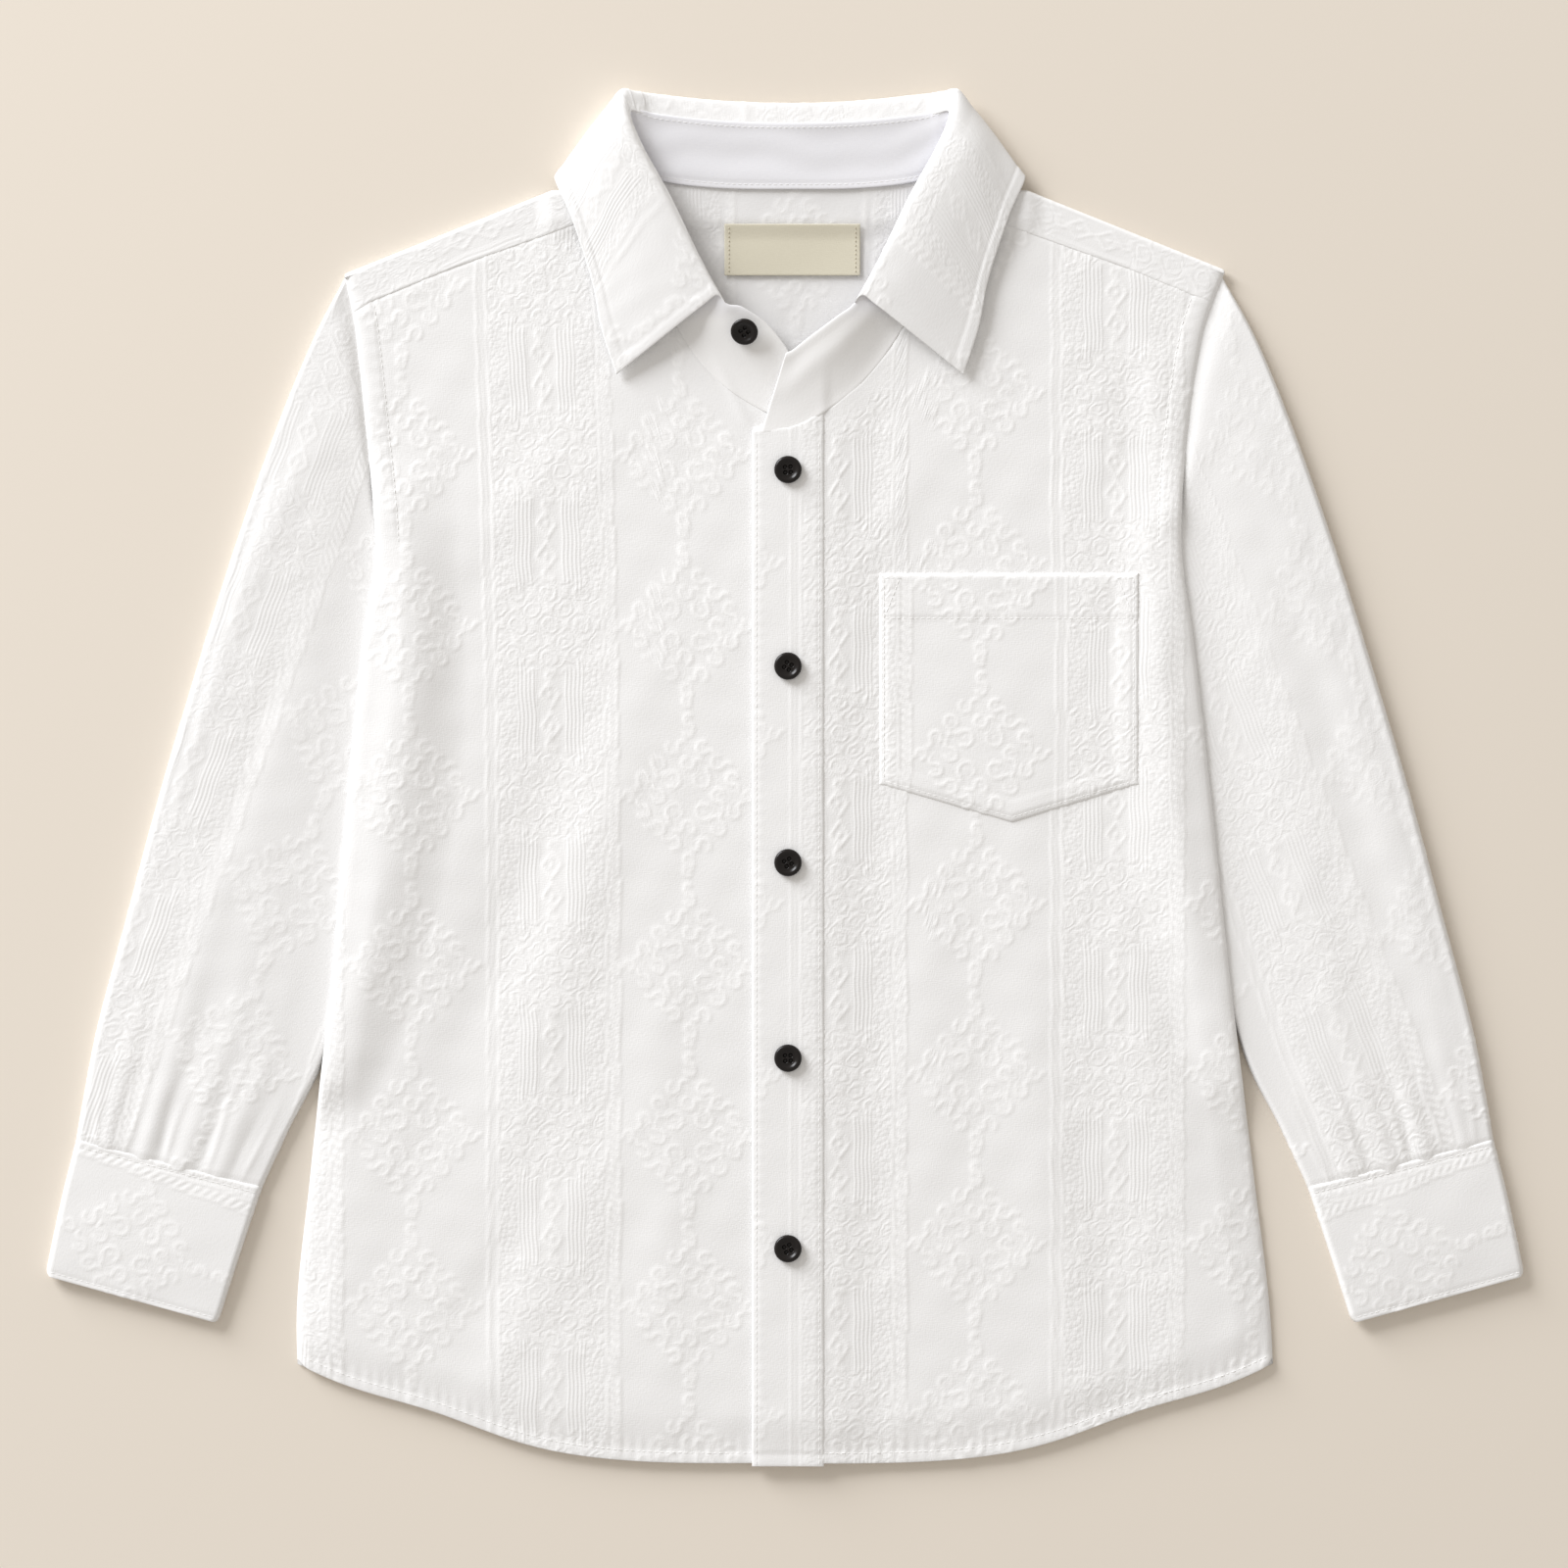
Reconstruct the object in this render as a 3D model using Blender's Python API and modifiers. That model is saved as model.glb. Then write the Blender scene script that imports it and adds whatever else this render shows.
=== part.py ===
"""Boy's jacquard shirt, buttoned and laid flat on its back.

X runs across the shirt, with +X on the wearer's left, Y from the hem to the collar and Z up from the
surface that it lies on. Sizes here are in millimetres, and become metres where a mesh is made.
Each piece that is cut and sewn is one object: a sheet of cloth with a real wall. The fronts lie on the
back, the sleeves' inner folds lie under the body's sides, and the collar's back leaf lies under the yoke.
"""
import math

import bmesh
import bpy
import numpy as np

MM = 0.001

# Cloth and seams
CLOTH = 1.0
SEAM = 0.3
LAYER = CLOTH + SEAM
AIR = 1.6
AIR_MOST = 3.3

# Body
BODY_HEM_Y = -280.6
HEM_RISE = 42.0
HEM_HALF_WIDTH = 199.0
HEM_POWER = 2.6
YOKE_SEAM_Y = 167.0
SIDE_ROLL = 16.0
HEM_ROLL = 20.0
UNDERARM_Y = 94.0

# Placket and buttons
FRONT_X = 1.2
PLACKET_WIDTH = 28.8
PLACKET_PAST_HEM = 1.2
OVERLAP_FADE = 6.0
BUTTON_R = 5.6
BUTTON_Y = (125.8, 45.8, -34.2, -113.8, -191.4)

# Collar
NECK_X = 2.0
NECK_SIDE = 67.0

# Sleeves: how far the body is lifted where it lies on a sleeve
SLEEVE_LIFT = 3.3
SLEEVE_FLAT = 1.95
FOLD_ROLL = 1.6
LIFT_RAMP_X = (18.0, 4.0)
LIFT_TOP_Y = (124.0, 104.0)
LIFT_END_Y = (-146.0, -122.0)

# Collar's back leaf: how far the yoke is lifted where it lies on it
LEAF_RAMP_Y = (219.0, 229.0)
LEAF_RAMP_X = (104.0, 96.0)

# Side edge of the body: y, half width on the wearer's right, half width on the wearer's left
SIDE_EDGE = (
    (-239.0, 198.6, 198.8),
    (-226.0, 199.0, 198.2),
    (-162.0, 193.4, 191.0),
    (-82.0, 184.6, 181.2),
    (-2.0, 177.6, 172.8),
    (58.0, 171.4, 166.0),
    (94.0, 166.6, 161.4),
    (118.0, 168.2, 161.9),
    (144.0, 171.0, 164.4),
    (166.0, 173.2, 167.4),
    (186.0, 175.6, 171.4),
    (207.0, 179.8, 179.2),
)

# Upper edge of the fronts, out from the neck's centre: neck seam, then yoke seam: distance, y
FRONT_TOP = (
    (-14.0, 142.0),
    (0.0, 143.4),
    (5.0, 145.2),
    (17.0, 152.0),
    (29.5, 162.0),
    (42.4, 177.0),
    (55.0, 199.0),
    (61.5, 222.0),
    (67.0, 234.0),
    (94.5, 223.5),
    (137.0, 208.5),
    (171.0, 194.5),
    (178.0, 190.0),
)

# Upper edge of the yoke's back part: distance from the neck's centre, y
YOKE_NECK = (
    (0.0, 241.8),
    (28.0, 242.2),
    (50.0, 244.2),
    (60.0, 246.4),
    (67.0, 248.4),
)

# Shoulder fold, as seen from above: distance from the neck's centre, y
SHOULDER_FOLD = (
    (66.0, 250.6),
    (90.0, 239.8),
    (97.0, 239.8),
    (182.0, 205.6),
)

# Soft folds of the fronts: x, y, direction in degrees, half length, half width, height
FRONT_FOLDS = (
    (-118.0, -40.0, 76.0, 95.0, 20.0, 1.1),
    (-150.0, 40.0, 84.0, 60.0, 11.0, 0.7),
    (-86.0, -45.0, 74.0, 90.0, 13.0, -0.8),
    (-56.0, -60.0, 84.0, 85.0, 14.0, 0.8),
    (-92.0, -190.0, 62.0, 45.0, 14.0, 0.7),
    (-124.0, -215.0, 58.0, 36.0, 12.0, -0.6),
    (-48.0, -200.0, 86.0, 50.0, 12.0, 0.6),
    (-112.0, 110.0, 40.0, 45.0, 14.0, 0.5),
    (-152.0, 150.0, 88.0, 40.0, 7.0, 0.7),
    (154.0, 160.0, 95.0, 40.0, 6.0, 0.9),
    (141.0, 150.0, 98.0, 34.0, 6.0, -0.5),
    (60.0, -90.0, 92.0, 80.0, 14.0, 0.5),
    (104.0, -130.0, 95.0, 90.0, 15.0, 0.7),
    (130.0, -190.0, 104.0, 60.0, 13.0, -0.6),
    (148.0, -90.0, 98.0, 100.0, 13.0, 0.6),
    (46.0, 110.0, 60.0, 40.0, 12.0, 0.4),
)

# Sleeve, from the armhole to the cuff: outer fold x, y, inner fold x, y, bow, height at the outer fold,
# place across where the body's edge crosses it
SLEEVE_SECTIONS = (
    (191.6, 179.8, 162.4, 73.8, 0.60, 3.0, 0.80),
    (206.0, 145.0, 158.8, 49.8, 0.25, 3.3, 0.74),
    (222.0, 99.8, 159.2, 21.8, 0.08, 3.4, 0.75),
    (238.4, 47.8, 162.0, -6.2, 0.0, 3.4, 0.79),
    (254.4, -6.2, 166.8, -38.2, 0.0, 3.4, 0.84),
    (268.4, -58.2, 175.6, -72.2, 0.0, 3.4, 0.90),
    (279.6, -100.2, 188.4, -114.2, 0.0, 3.3, 0.98),
    (285.2, -128.2, 202.4, -142.2, 0.0, 3.1, 1.10),
    (288.6, -147.8, 214.0, -167.2, 0.0, 2.7, 1.20),
)
ARMHOLE_TOP_Y = 205.2
ARMHOLE_SEAM_Y = 190.0
ARMHOLE_HEIGHT = 2.6
ARM_MEAN_X = 164.5

# Folds that run up a sleeve from its cuff: place across, half width across, height
SLEEVE_FOLDS = (
    (0.16, 0.05, 0.5),
    (0.36, 0.05, 0.8),
    (0.56, 0.06, 0.7),
    (0.76, 0.05, 0.5),
)

# Cuff: outer fold x, y, inner fold x, y, height
CUFF_SECTIONS = (
    (288.7, -147.9, 214.1, -167.3, 2.9),
    (293.4, -166.2, 220.2, -185.8, 3.1),
    (297.4, -184.2, 226.0, -203.6, 3.1),
    (301.2, -202.2, 231.6, -221.4, 2.7),
)

# Collar: five lines of it, each from the back's centre round one side to the front end of the leaf.
# Distance from the neck's centre, y, height of the cloth's middle
NECK_SEAM = (
    (0.0, 240.6, 3.1),
    (28.4, 241.0, 3.1),
    (52.0, 243.9, 3.1),
    (61.5, 249.8, 3.2),
    (66.8, 257.6, 3.9),
    (64.6, 243.0, 5.4),
    (60.0, 221.0, 5.2),
    (53.0, 198.6, 5.0),
    (41.6, 177.4, 5.0),
)
STAND_TOP = (
    (0.0, 266.8, 4.4),
    (27.2, 267.6, 4.4),
    (52.6, 270.2, 4.9),
    (60.0, 271.8, 6.0),
    (65.4, 271.8, 7.4),
    (60.8, 258.2, 9.0),
    (49.5, 237.5, 9.5),
    (37.6, 213.0, 9.3),
    (27.5, 194.6, 8.9),
)
ROLL_LINE = (
    (0.0, 275.0, 3.0),
    (28.4, 276.0, 3.0),
    (55.0, 278.6, 3.8),
    (62.6, 279.6, 5.6),
    (68.5, 279.0, 8.4),
    (65.2, 262.6, 11.6),
    (53.8, 241.0, 12.3),
    (41.0, 216.0, 11.8),
    (30.0, 196.8, 10.9),
)
LEAF_TURN = (
    (0.0, 267.6, 0.5),
    (29.0, 268.4, 0.5),
    (58.0, 270.8, 0.5),
    (69.0, 273.0, 0.9),
    (74.5, 272.4, 6.6),
    (70.4, 259.6, 11.4),
    (58.8, 237.2, 12.0),
    (45.8, 212.2, 11.5),
    (34.4, 193.6, 10.6),
)
LEAF_EDGE = (
    (0.0, 231.8, 0.5),
    (31.2, 232.2, 0.5),
    (64.0, 234.4, 0.5),
    (86.0, 240.4, 0.5),
    (95.4, 245.2, 4.3),
    (88.8, 229.0, 6.9),
    (80.4, 203.0, 6.6),
    (76.6, 184.0, 6.4),
    (70.5, 165.2, 6.0),
)

# The stand's ends past the leaf: distance from the neck's centre, y and height of the neck seam, then
# the same of the top edge
STAND_END_RIGHT = (
    (30.0, 163.2, 4.9, 19.5, 191.6, 8.4),
    (18.0, 154.2, 4.6, 9.5, 184.8, 7.0),
    (5.0, 147.8, 4.2, 1.0, 174.4, 5.7),
    (-6.0, 147.4, 4.1, -4.6, 163.0, 4.9),
)
STAND_END_LEFT = (
    (29.0, 161.4, 5.2, 19.0, 187.6, 8.9),
    (16.0, 151.0, 6.0, 8.5, 179.8, 8.1),
    (2.0, 142.6, 6.2, 1.5, 174.4, 7.5),
    (-11.4, 141.0, 6.2, -1.4, 173.0, 7.4),
)
COLLAR_BUTTON_XY = (-16.4, 182.2)

# Where the collar's cross sections are, counted along its lines' rows from the back's centre
COLLAR_PLACES = np.array(
    [0.0, 0.7, 1.4, 2.0, 2.35, 2.7, 3.0, 3.3, 3.6, 3.8, 4.0, 4.2, 4.4, 4.7, 5.0, 5.5, 6.0, 7.0, 8.0]
)

# Pocket
POCKET_LEFT_X = 38.8
POCKET_RIGHT_X = 143.6
POCKET_TOP_Y = 83.4
POCKET_SIDE_Y = -2.0
POCKET_POINT = (92.4, -17.4)

# Label: left, right, lower and upper edge
LABEL_BOX = (-24.4, 30.4, 205.4, 225.8)

# Rows of the body's panels, as y at the side edge, and columns as distances in from the side edge
BODY_ROWS = (
    -226.0, -208.0, -184.0, -162.0, -146.0, -138.0, -130.0, -122.0, -112.0, -100.0, -76.0, -48.0, -20.0,
    8.0, 36.0, 64.0, 88.0, 104.0, 111.0, 118.0, 124.0, 138.0, 152.0, 164.0, 177.0,
)
SIDE_COLUMNS = (0.0, 5.0, 11.0, 18.0, 26.0, 36.0, 46.0)
FRONT_COLUMNS = (0.0, 14.0, 28.4, 34.6)

# Colours
WHITE_CLOTH = (0.86, 0.85, 0.84, 1.0)
PLAIN_CLOTH = (0.84, 0.84, 0.86, 1.0)
LABEL_CLOTH = (0.72, 0.68, 0.56, 1.0)
BUTTON_BLACK = (0.018, 0.015, 0.013, 1.0)


def smooth(value):
    """Smooth step from 0 to 1."""
    t = np.clip(value, 0.0, 1.0)
    return t * t * (3.0 - 2.0 * t)


def follow(table, where):
    """Smooth curve through a table's rows. The first column is the place, the others are values."""
    rows = np.asarray(table, float)
    knots = rows[:, 0]
    values = rows[:, 1:]
    slopes = np.gradient(values, knots, axis=0)
    where = np.clip(np.asarray(where, float), knots[0], knots[-1])
    low = np.clip(np.searchsorted(knots, where, side="right") - 1, 0, len(knots) - 2)
    span = knots[low + 1] - knots[low]
    t = ((where - knots[low]) / span)[..., None]
    span = span[..., None]
    result = (
        (2 * t**3 - 3 * t**2 + 1) * values[low]
        + (t**3 - 2 * t**2 + t) * span * slopes[low]
        + (3 * t**2 - 2 * t**3) * values[low + 1]
        + (t**3 - t**2) * span * slopes[low + 1]
    )
    return result[..., 0] if result.shape[-1] == 1 else result


def half_width(y, side):
    """Half width of the body at a height up the shirt. Side is -1 on the wearer's right, 1 on the left."""
    widths = follow(SIDE_EDGE, y)
    return np.where(np.asarray(side) < 0, widths[..., 0], widths[..., 1])


def hem_y(x):
    """Curved shirt-tail hem."""
    return BODY_HEM_Y + HEM_RISE * np.minimum(np.abs(x) / HEM_HALF_WIDTH, 1.0) ** HEM_POWER


def front_top_y(out):
    """Upper edge of the fronts, at a distance from the neck's centre."""
    table = np.asarray(FRONT_TOP)
    return np.interp(out, table[:, 0], table[:, 1])


def shoulder_y(out):
    """Shoulder fold, at a distance from the neck's centre."""
    table = np.asarray(SHOULDER_FOLD)
    return np.interp(out, table[:, 0], table[:, 1])


def sleeve_inner_x(y):
    """How far in the sleeve's inner fold reaches under the body."""
    rows = np.asarray(SLEEVE_SECTIONS)
    return np.interp(y, rows[::-1, 3], rows[::-1, 2])


def back_bottom(x, y):
    """Underside of the back and the yoke, lifted over the sleeves and over the collar's back leaf."""
    over = (np.abs(x) - sleeve_inner_x(y) + LIFT_RAMP_X[0]) / (LIFT_RAMP_X[0] - LIFT_RAMP_X[1])
    top = (LIFT_TOP_Y[0] - y) / (LIFT_TOP_Y[0] - LIFT_TOP_Y[1])
    end = (y - LIFT_END_Y[0]) / (LIFT_END_Y[1] - LIFT_END_Y[0])
    sleeve = SLEEVE_LIFT * smooth(over) * smooth(top) * smooth(end)
    leaf_y = (y - LEAF_RAMP_Y[0]) / (LEAF_RAMP_Y[1] - LEAF_RAMP_Y[0])
    leaf_x = (LEAF_RAMP_X[0] - np.abs(x - NECK_X)) / (LEAF_RAMP_X[0] - LEAF_RAMP_X[1])
    return sleeve + LAYER * smooth(leaf_y) * smooth(leaf_x)


def front_folds(x, y):
    """Sum of the fronts' soft folds."""
    total = np.zeros(np.broadcast(x, y).shape)
    for fold_x, fold_y, degrees, length, width, height in FRONT_FOLDS:
        turn = math.radians(degrees)
        along = (x - fold_x) * math.cos(turn) + (y - fold_y) * math.sin(turn)
        across = (y - fold_y) * math.cos(turn) - (x - fold_x) * math.sin(turn)
        total = total + height * np.exp(-((along / length) ** 2) - (across / width) ** 2)
    return total


def inner_space(x, y):
    """Air between the back and the fronts. It closes at the side seams and at the hem."""
    edge = half_width(y, np.sign(x)) - np.abs(x)
    below_arm = smooth((UNDERARM_Y + HEM_ROLL - y) / HEM_ROLL)
    side = 1.0 - (1.0 - smooth(edge / SIDE_ROLL)) * below_arm
    hem = smooth((y - hem_y(x)) / HEM_ROLL)
    fade = smooth((YOKE_SEAM_Y + HEM_ROLL - y) / HEM_ROLL)
    air = np.clip(AIR + front_folds(x, y) * fade, SEAM, AIR_MOST)
    return SEAM + (air - SEAM) * side * hem


def front_middle(x, y, side):
    """Middle of a front's cloth. The left front lies on the right one at the buttons."""
    level = back_bottom(x, y) + CLOTH + inner_space(x, y) + CLOTH / 2
    if side < 0:
        return level
    edge = FRONT_X + PLACKET_WIDTH / 2
    return level + LAYER * (1.0 - smooth((x - edge) / OVERLAP_FADE))


def settle(edge, x_at, guess):
    """Height up the shirt where a column of a panel meets an edge that depends on x."""
    y = guess
    for _ in range(12):
        y = edge(x_at(y))
    return y


def body_columns(side, inner_x, inner_steps, middle_count):
    """Functions that give x at a height y for each column of a panel, from its inner edge outwards."""
    columns = []
    for step in inner_steps:
        columns.append(lambda y, step=step: inner_x + side * step)
    start = inner_x + side * inner_steps[-1]
    for i in range(1, middle_count + 1):
        part = i / (middle_count + 1)
        columns.append(
            lambda y, part=part: start + part * (side * (half_width(y, side) - SIDE_COLUMNS[-1]) - start)
        )
    for inset in reversed(SIDE_COLUMNS):
        columns.append(lambda y, inset=inset: side * (half_width(y, side) - inset))
    return columns


def body_rows(top_at_side):
    """Shares of the way up a panel for its rows, which keep their places at the side seam."""
    low = hem_y(HEM_HALF_WIDTH)
    rows = [y for y in BODY_ROWS if y < top_at_side - 6.0]
    return np.array([0.0] + [(y - low) / (top_at_side - low) for y in rows] + [1.0])


def make_material(name, colour, roughness):
    """Plain material of one sub-part."""
    material = bpy.data.materials.new(name)
    material.use_nodes = True
    shader = material.node_tree.nodes["Principled BSDF"]
    shader.inputs["Base Color"].default_value = colour
    shader.inputs["Roughness"].default_value = roughness
    shader.inputs["Metallic"].default_value = 0.0
    return material


def add_grid(bm, points):
    """Adds a grid of quads whose corners are the given points, in rows, and returns its vertices."""
    rows, columns = points.shape[:2]
    made = bmesh.ops.create_grid(bm, x_segments=columns - 1, y_segments=rows - 1, size=1.0)
    for vertex in made["verts"]:
        column = round((vertex.co.x + 1.0) / 2.0 * (columns - 1))
        row = round((vertex.co.y + 1.0) / 2.0 * (rows - 1))
        vertex.co = points[row, column] * MM
    return made["verts"]


def finish_object(name, bm, material, wall):
    """Turns a mesh into an object of the shirt, with a wall when it is a sheet."""
    mesh = bpy.data.meshes.new(name)
    bmesh.ops.remove_doubles(bm, verts=bm.verts, dist=0.02 * MM)
    bmesh.ops.recalc_face_normals(bm, faces=bm.faces)
    bm.to_mesh(mesh)
    bm.free()
    mesh.materials.append(material)
    piece = bpy.data.objects.new(name, mesh)
    shirt.objects.link(piece)
    mesh.shade_smooth()
    solidify = piece.modifiers.new("Cloth wall", "SOLIDIFY")
    solidify.thickness = wall * MM
    solidify.offset = 0.0
    return piece


def make_sheet(name, grids, material, wall=CLOTH):
    """One piece of cloth, from one or more grids of points that join along shared edges."""
    bm = bmesh.new()
    for points in grids:
        add_grid(bm, points)
    return finish_object(name, bm, material, wall)


def panel_grid(columns, rows, top, heights):
    """Points of a body panel: each column runs from the hem to the panel's upper edge."""
    grid = np.zeros((len(rows), len(columns), 3))
    for c, x_at in enumerate(columns):
        low = settle(hem_y, x_at, BODY_HEM_Y)
        high = settle(top, x_at, UNDERARM_Y)
        for r, part in enumerate(rows):
            y = low + (high - low) * part
            x = x_at(y)
            grid[r, c] = (x, y, heights(x, y))
    return grid


def make_back(material):
    """Back panel, below the yoke. It lies on the surface and carries the fronts."""
    right = body_columns(-1, 0.0, (0.0,), 3)
    left = body_columns(1, 0.0, (0.0,), 3)
    rows = body_rows(YOKE_SEAM_Y)
    top = lambda x: YOKE_SEAM_Y - SEAM
    heights = lambda x, y: back_bottom(x, y) + CLOTH / 2
    grid = panel_grid(right[:0:-1] + left, rows, top, heights)
    return make_sheet("back", [grid], material)


def make_front(name, side, material):
    """A front, from its edge under the placket to the side seam and the armhole."""
    inner_x = FRONT_X - side * (PLACKET_WIDTH / 2 - 0.7)
    columns = body_columns(side, inner_x, FRONT_COLUMNS, 4)
    rows = body_rows(ARMHOLE_SEAM_Y)
    top = lambda x: front_top_y(side * (x - NECK_X)) - SEAM
    grid = panel_grid(columns, rows, top, lambda x, y: front_middle(x, y, side))
    return make_sheet(name, [grid], material)


def make_placket(material):
    """Band down the left front that carries the buttons."""
    rows = body_rows(ARMHOLE_SEAM_Y)
    grid = np.zeros((len(rows), 3, 3))
    for c in range(3):
        x = FRONT_X + PLACKET_WIDTH * (c / 2 - 0.5)
        low = hem_y(x) - PLACKET_PAST_HEM
        high = front_top_y(x - NECK_X) - 4.0
        for r, part in enumerate(rows):
            y = low + (high - low) * part
            grid[r, c] = (x, y, front_middle(x, max(y, BODY_HEM_Y + 0.5), 1) + LAYER)
    return make_sheet("placket", [grid], material)


def pocket_grid(columns, rows):
    """Points of the pocket, which lies on the left front."""
    grid = np.zeros((rows, columns, 3))
    for c in range(columns):
        across = c / (columns - 1)
        x = POCKET_LEFT_X + (POCKET_RIGHT_X - POCKET_LEFT_X) * across
        reach = POCKET_POINT[0] - POCKET_LEFT_X if x < POCKET_POINT[0] else POCKET_RIGHT_X - POCKET_POINT[0]
        low = POCKET_POINT[1] + (POCKET_SIDE_Y - POCKET_POINT[1]) * abs(x - POCKET_POINT[0]) / reach
        for r in range(rows):
            up = r / (rows - 1)
            y = low + (POCKET_TOP_Y - low) * up
            swell = 0.5 * math.sin(math.pi * across) * math.sin(math.pi * min(up + 0.1, 1.0) / 1.2)
            grid[r, c] = (x, y, front_middle(x, y, 1) + LAYER + 0.2 + swell)
    return grid


def make_yoke(material):
    """Yoke: its back part under the neck, and a strip over each shoulder's fold to the front."""
    neck_left = (NECK_X + NECK_SIDE) / half_width(ARMHOLE_TOP_Y, 1)
    neck_right = (NECK_X - NECK_SIDE) / half_width(ARMHOLE_TOP_Y, -1)
    outer = np.array([0.2, 0.4, 0.6, 0.8, 0.92, 1.0])
    right = neck_right - outer[::-1] * (1.0 + neck_right)
    middle = np.linspace(neck_right, neck_left, 10)
    left = neck_left + outer * (1.0 - neck_left)
    shares = np.concatenate([right, middle, left])
    neck = np.asarray(YOKE_NECK)
    turn = (AIR + CLOTH) / 2

    def upper(x):
        out = abs(x - NECK_X)
        if out < NECK_SIDE - 0.01:
            return np.interp(out, neck[:, 0], neck[:, 1])
        return shoulder_y(out) - CLOTH / 2 - turn

    back_rows = (0.0, 0.22, 0.46, 0.7, 0.76, 0.83, 0.9, 1.0)
    back_part = np.zeros((len(back_rows), len(shares), 3))
    strips = {-1: [], 1: []}
    for c, share in enumerate(shares):
        side = 1 if share > 0 else -1
        x_at = lambda y: abs(share) * side * half_width(y, side)
        high = settle(upper, x_at, ARMHOLE_TOP_Y)
        for r, part in enumerate(back_rows):
            y = YOKE_SEAM_Y + (high - YOKE_SEAM_Y) * part
            x = x_at(y)
            back_part[r, c] = (x, y, back_bottom(x, y) + CLOTH / 2)
        if c <= len(right) or c >= len(right) + len(middle) - 1:
            strips[side].append(shoulder_strip(x_at, high, back_part[-1, c, 2], turn, side))
    grids = [back_part] + [np.array(strips[side]) for side in (-1, 1)]
    return make_sheet("yoke", grids, material)


def shoulder_strip(x_at, high, low_z, turn, side):
    """One line of the yoke from the back's edge, round the shoulder's fold, down to the front seam."""
    x = x_at(high)
    line = []
    for step in range(5):
        angle = math.pi * step / 4
        line.append((x, high + turn * math.sin(angle), low_z + turn * (1.0 - math.cos(angle))))
    seam = settle(lambda at: front_top_y(side * (at - NECK_X)), x_at, high)
    for part in (0.5, 1.0):
        y = high + (seam - high) * part
        line.append((x_at(y), y, front_middle(x_at(y), y, -1)))
    return line


def sleeve_ring(points, heights, outer_roll, inner_roll):
    """Closed flattened ring through points from the outer to the inner fold, on the surface."""
    width = np.linalg.norm(points[-1] - points[0])
    count = len(points)
    ring = []
    for layer, order in ((1, range(count)), (-1, range(count - 2, 0, -1))):
        for i in order:
            inset = min(i, count - 1 - i) / (count - 1)
            inset = 0.5 * (1.0 - math.cos(math.pi * inset)) * width
            roll = outer_roll if 2 * i < count else inner_roll
            open_part = math.sqrt(1.0 - (1.0 - min(inset / roll, 1.0)) ** 2)
            middle = CLOTH / 2 + heights[i] / 2
            ring.append((points[i][0], points[i][1], middle + layer * open_part * heights[i] / 2))
    ring.append(ring[0])
    return ring


def across_shares(count):
    """Places across a flattened ring, closer together at its two folds."""
    return 0.5 * (1.0 - np.cos(np.pi * np.arange(count) / (count - 1)))


def sleeve_heights(shares, outer_height, edge_share, end_distance):
    """Height of a sleeve's upper layer over its lower one: flat beside the body, full outside it."""
    rise = smooth((edge_share - 0.03 - shares) / 0.38)
    heights = SLEEVE_FLAT + (outer_height - SLEEVE_FLAT) * rise
    fade = math.exp(-((end_distance / 55.0) ** 2))
    for place, width, height in SLEEVE_FOLDS:
        heights = heights + fade * height * np.exp(-(((shares - place) / width) ** 2))
    return heights


def make_sleeve(name, side, material):
    """Sleeve: a flattened tube from the armhole to the cuff."""
    reach = SEAM + 0.2
    top_x, arm_x = half_width(np.array([ARMHOLE_TOP_Y, UNDERARM_Y]), side) + reach
    table = [(top_x, ARMHOLE_TOP_Y, arm_x, UNDERARM_Y, 1.0, ARMHOLE_HEIGHT, 1.0)]
    table += list(SLEEVE_SECTIONS)
    numbered = [(i,) + tuple(row) for i, row in enumerate(table)]
    places = np.concatenate([np.arange(0.0, 6.0, 1.0), np.arange(6.0, 9.01, 0.5)])
    end = np.array(table[-1][0:2])
    rings = []
    for place in places:
        outer_x, outer_y, inner_x, inner_y, bow, height, edge = follow(numbered, np.array(place))
        shares = across_shares(11)
        shares = shares - np.interp(place, (0.0, 1.0, 2.0), (0.06, 0.03, 0.0)) * np.sin(np.pi * shares) ** 0.7
        inner_x = inner_x + (arm_x - ARM_MEAN_X) * np.interp(place, (0.0, 1.0, 4.0), (0.0, 1.0, 0.0))
        curve_y = ARMHOLE_TOP_Y + (UNDERARM_Y - ARMHOLE_TOP_Y) * shares
        curve = half_width(curve_y, side) + reach - top_x - (arm_x - top_x) * shares
        x = outer_x + (inner_x - outer_x) * shares + bow * curve
        y = outer_y + (inner_y - outer_y) * shares
        points = np.stack([side * x, y], axis=1)
        distance = float(np.linalg.norm(np.array([outer_x, outer_y]) - end))
        heights = sleeve_heights(shares, height, edge, distance)
        inner_roll = np.interp(place, (0.0, 1.0, 2.0), (9.0, 5.0, FOLD_ROLL))
        rings.append(sleeve_ring(points, heights, FOLD_ROLL, inner_roll))
    return make_sheet(name, [np.array(rings)], material)


def make_cuff(name, side, material):
    """Cuff: a flattened band at the sleeve's end."""
    shares = across_shares(9)
    rings = []
    for outer_x, outer_y, inner_x, inner_y, height in CUFF_SECTIONS:
        x = outer_x + (inner_x - outer_x) * shares
        y = outer_y + (inner_y - outer_y) * shares - SEAM
        points = np.stack([side * x, y], axis=1)
        rings.append(sleeve_ring(points, np.full(len(shares), height), FOLD_ROLL, FOLD_ROLL))
    return make_sheet(name, [np.array(rings)], material)


def collar_line(half, right_end=(), left_end=()):
    """A line of the collar from its right end, round the back, to its left end."""
    right = [(NECK_X - out, y, z) for out, y, z in list(half) + list(right_end)]
    left = [(NECK_X + out, y, z) for out, y, z in list(half)[1:] + list(left_end)]
    points = right[::-1] + left
    return [(i,) + point for i, point in enumerate(points)]


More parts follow.
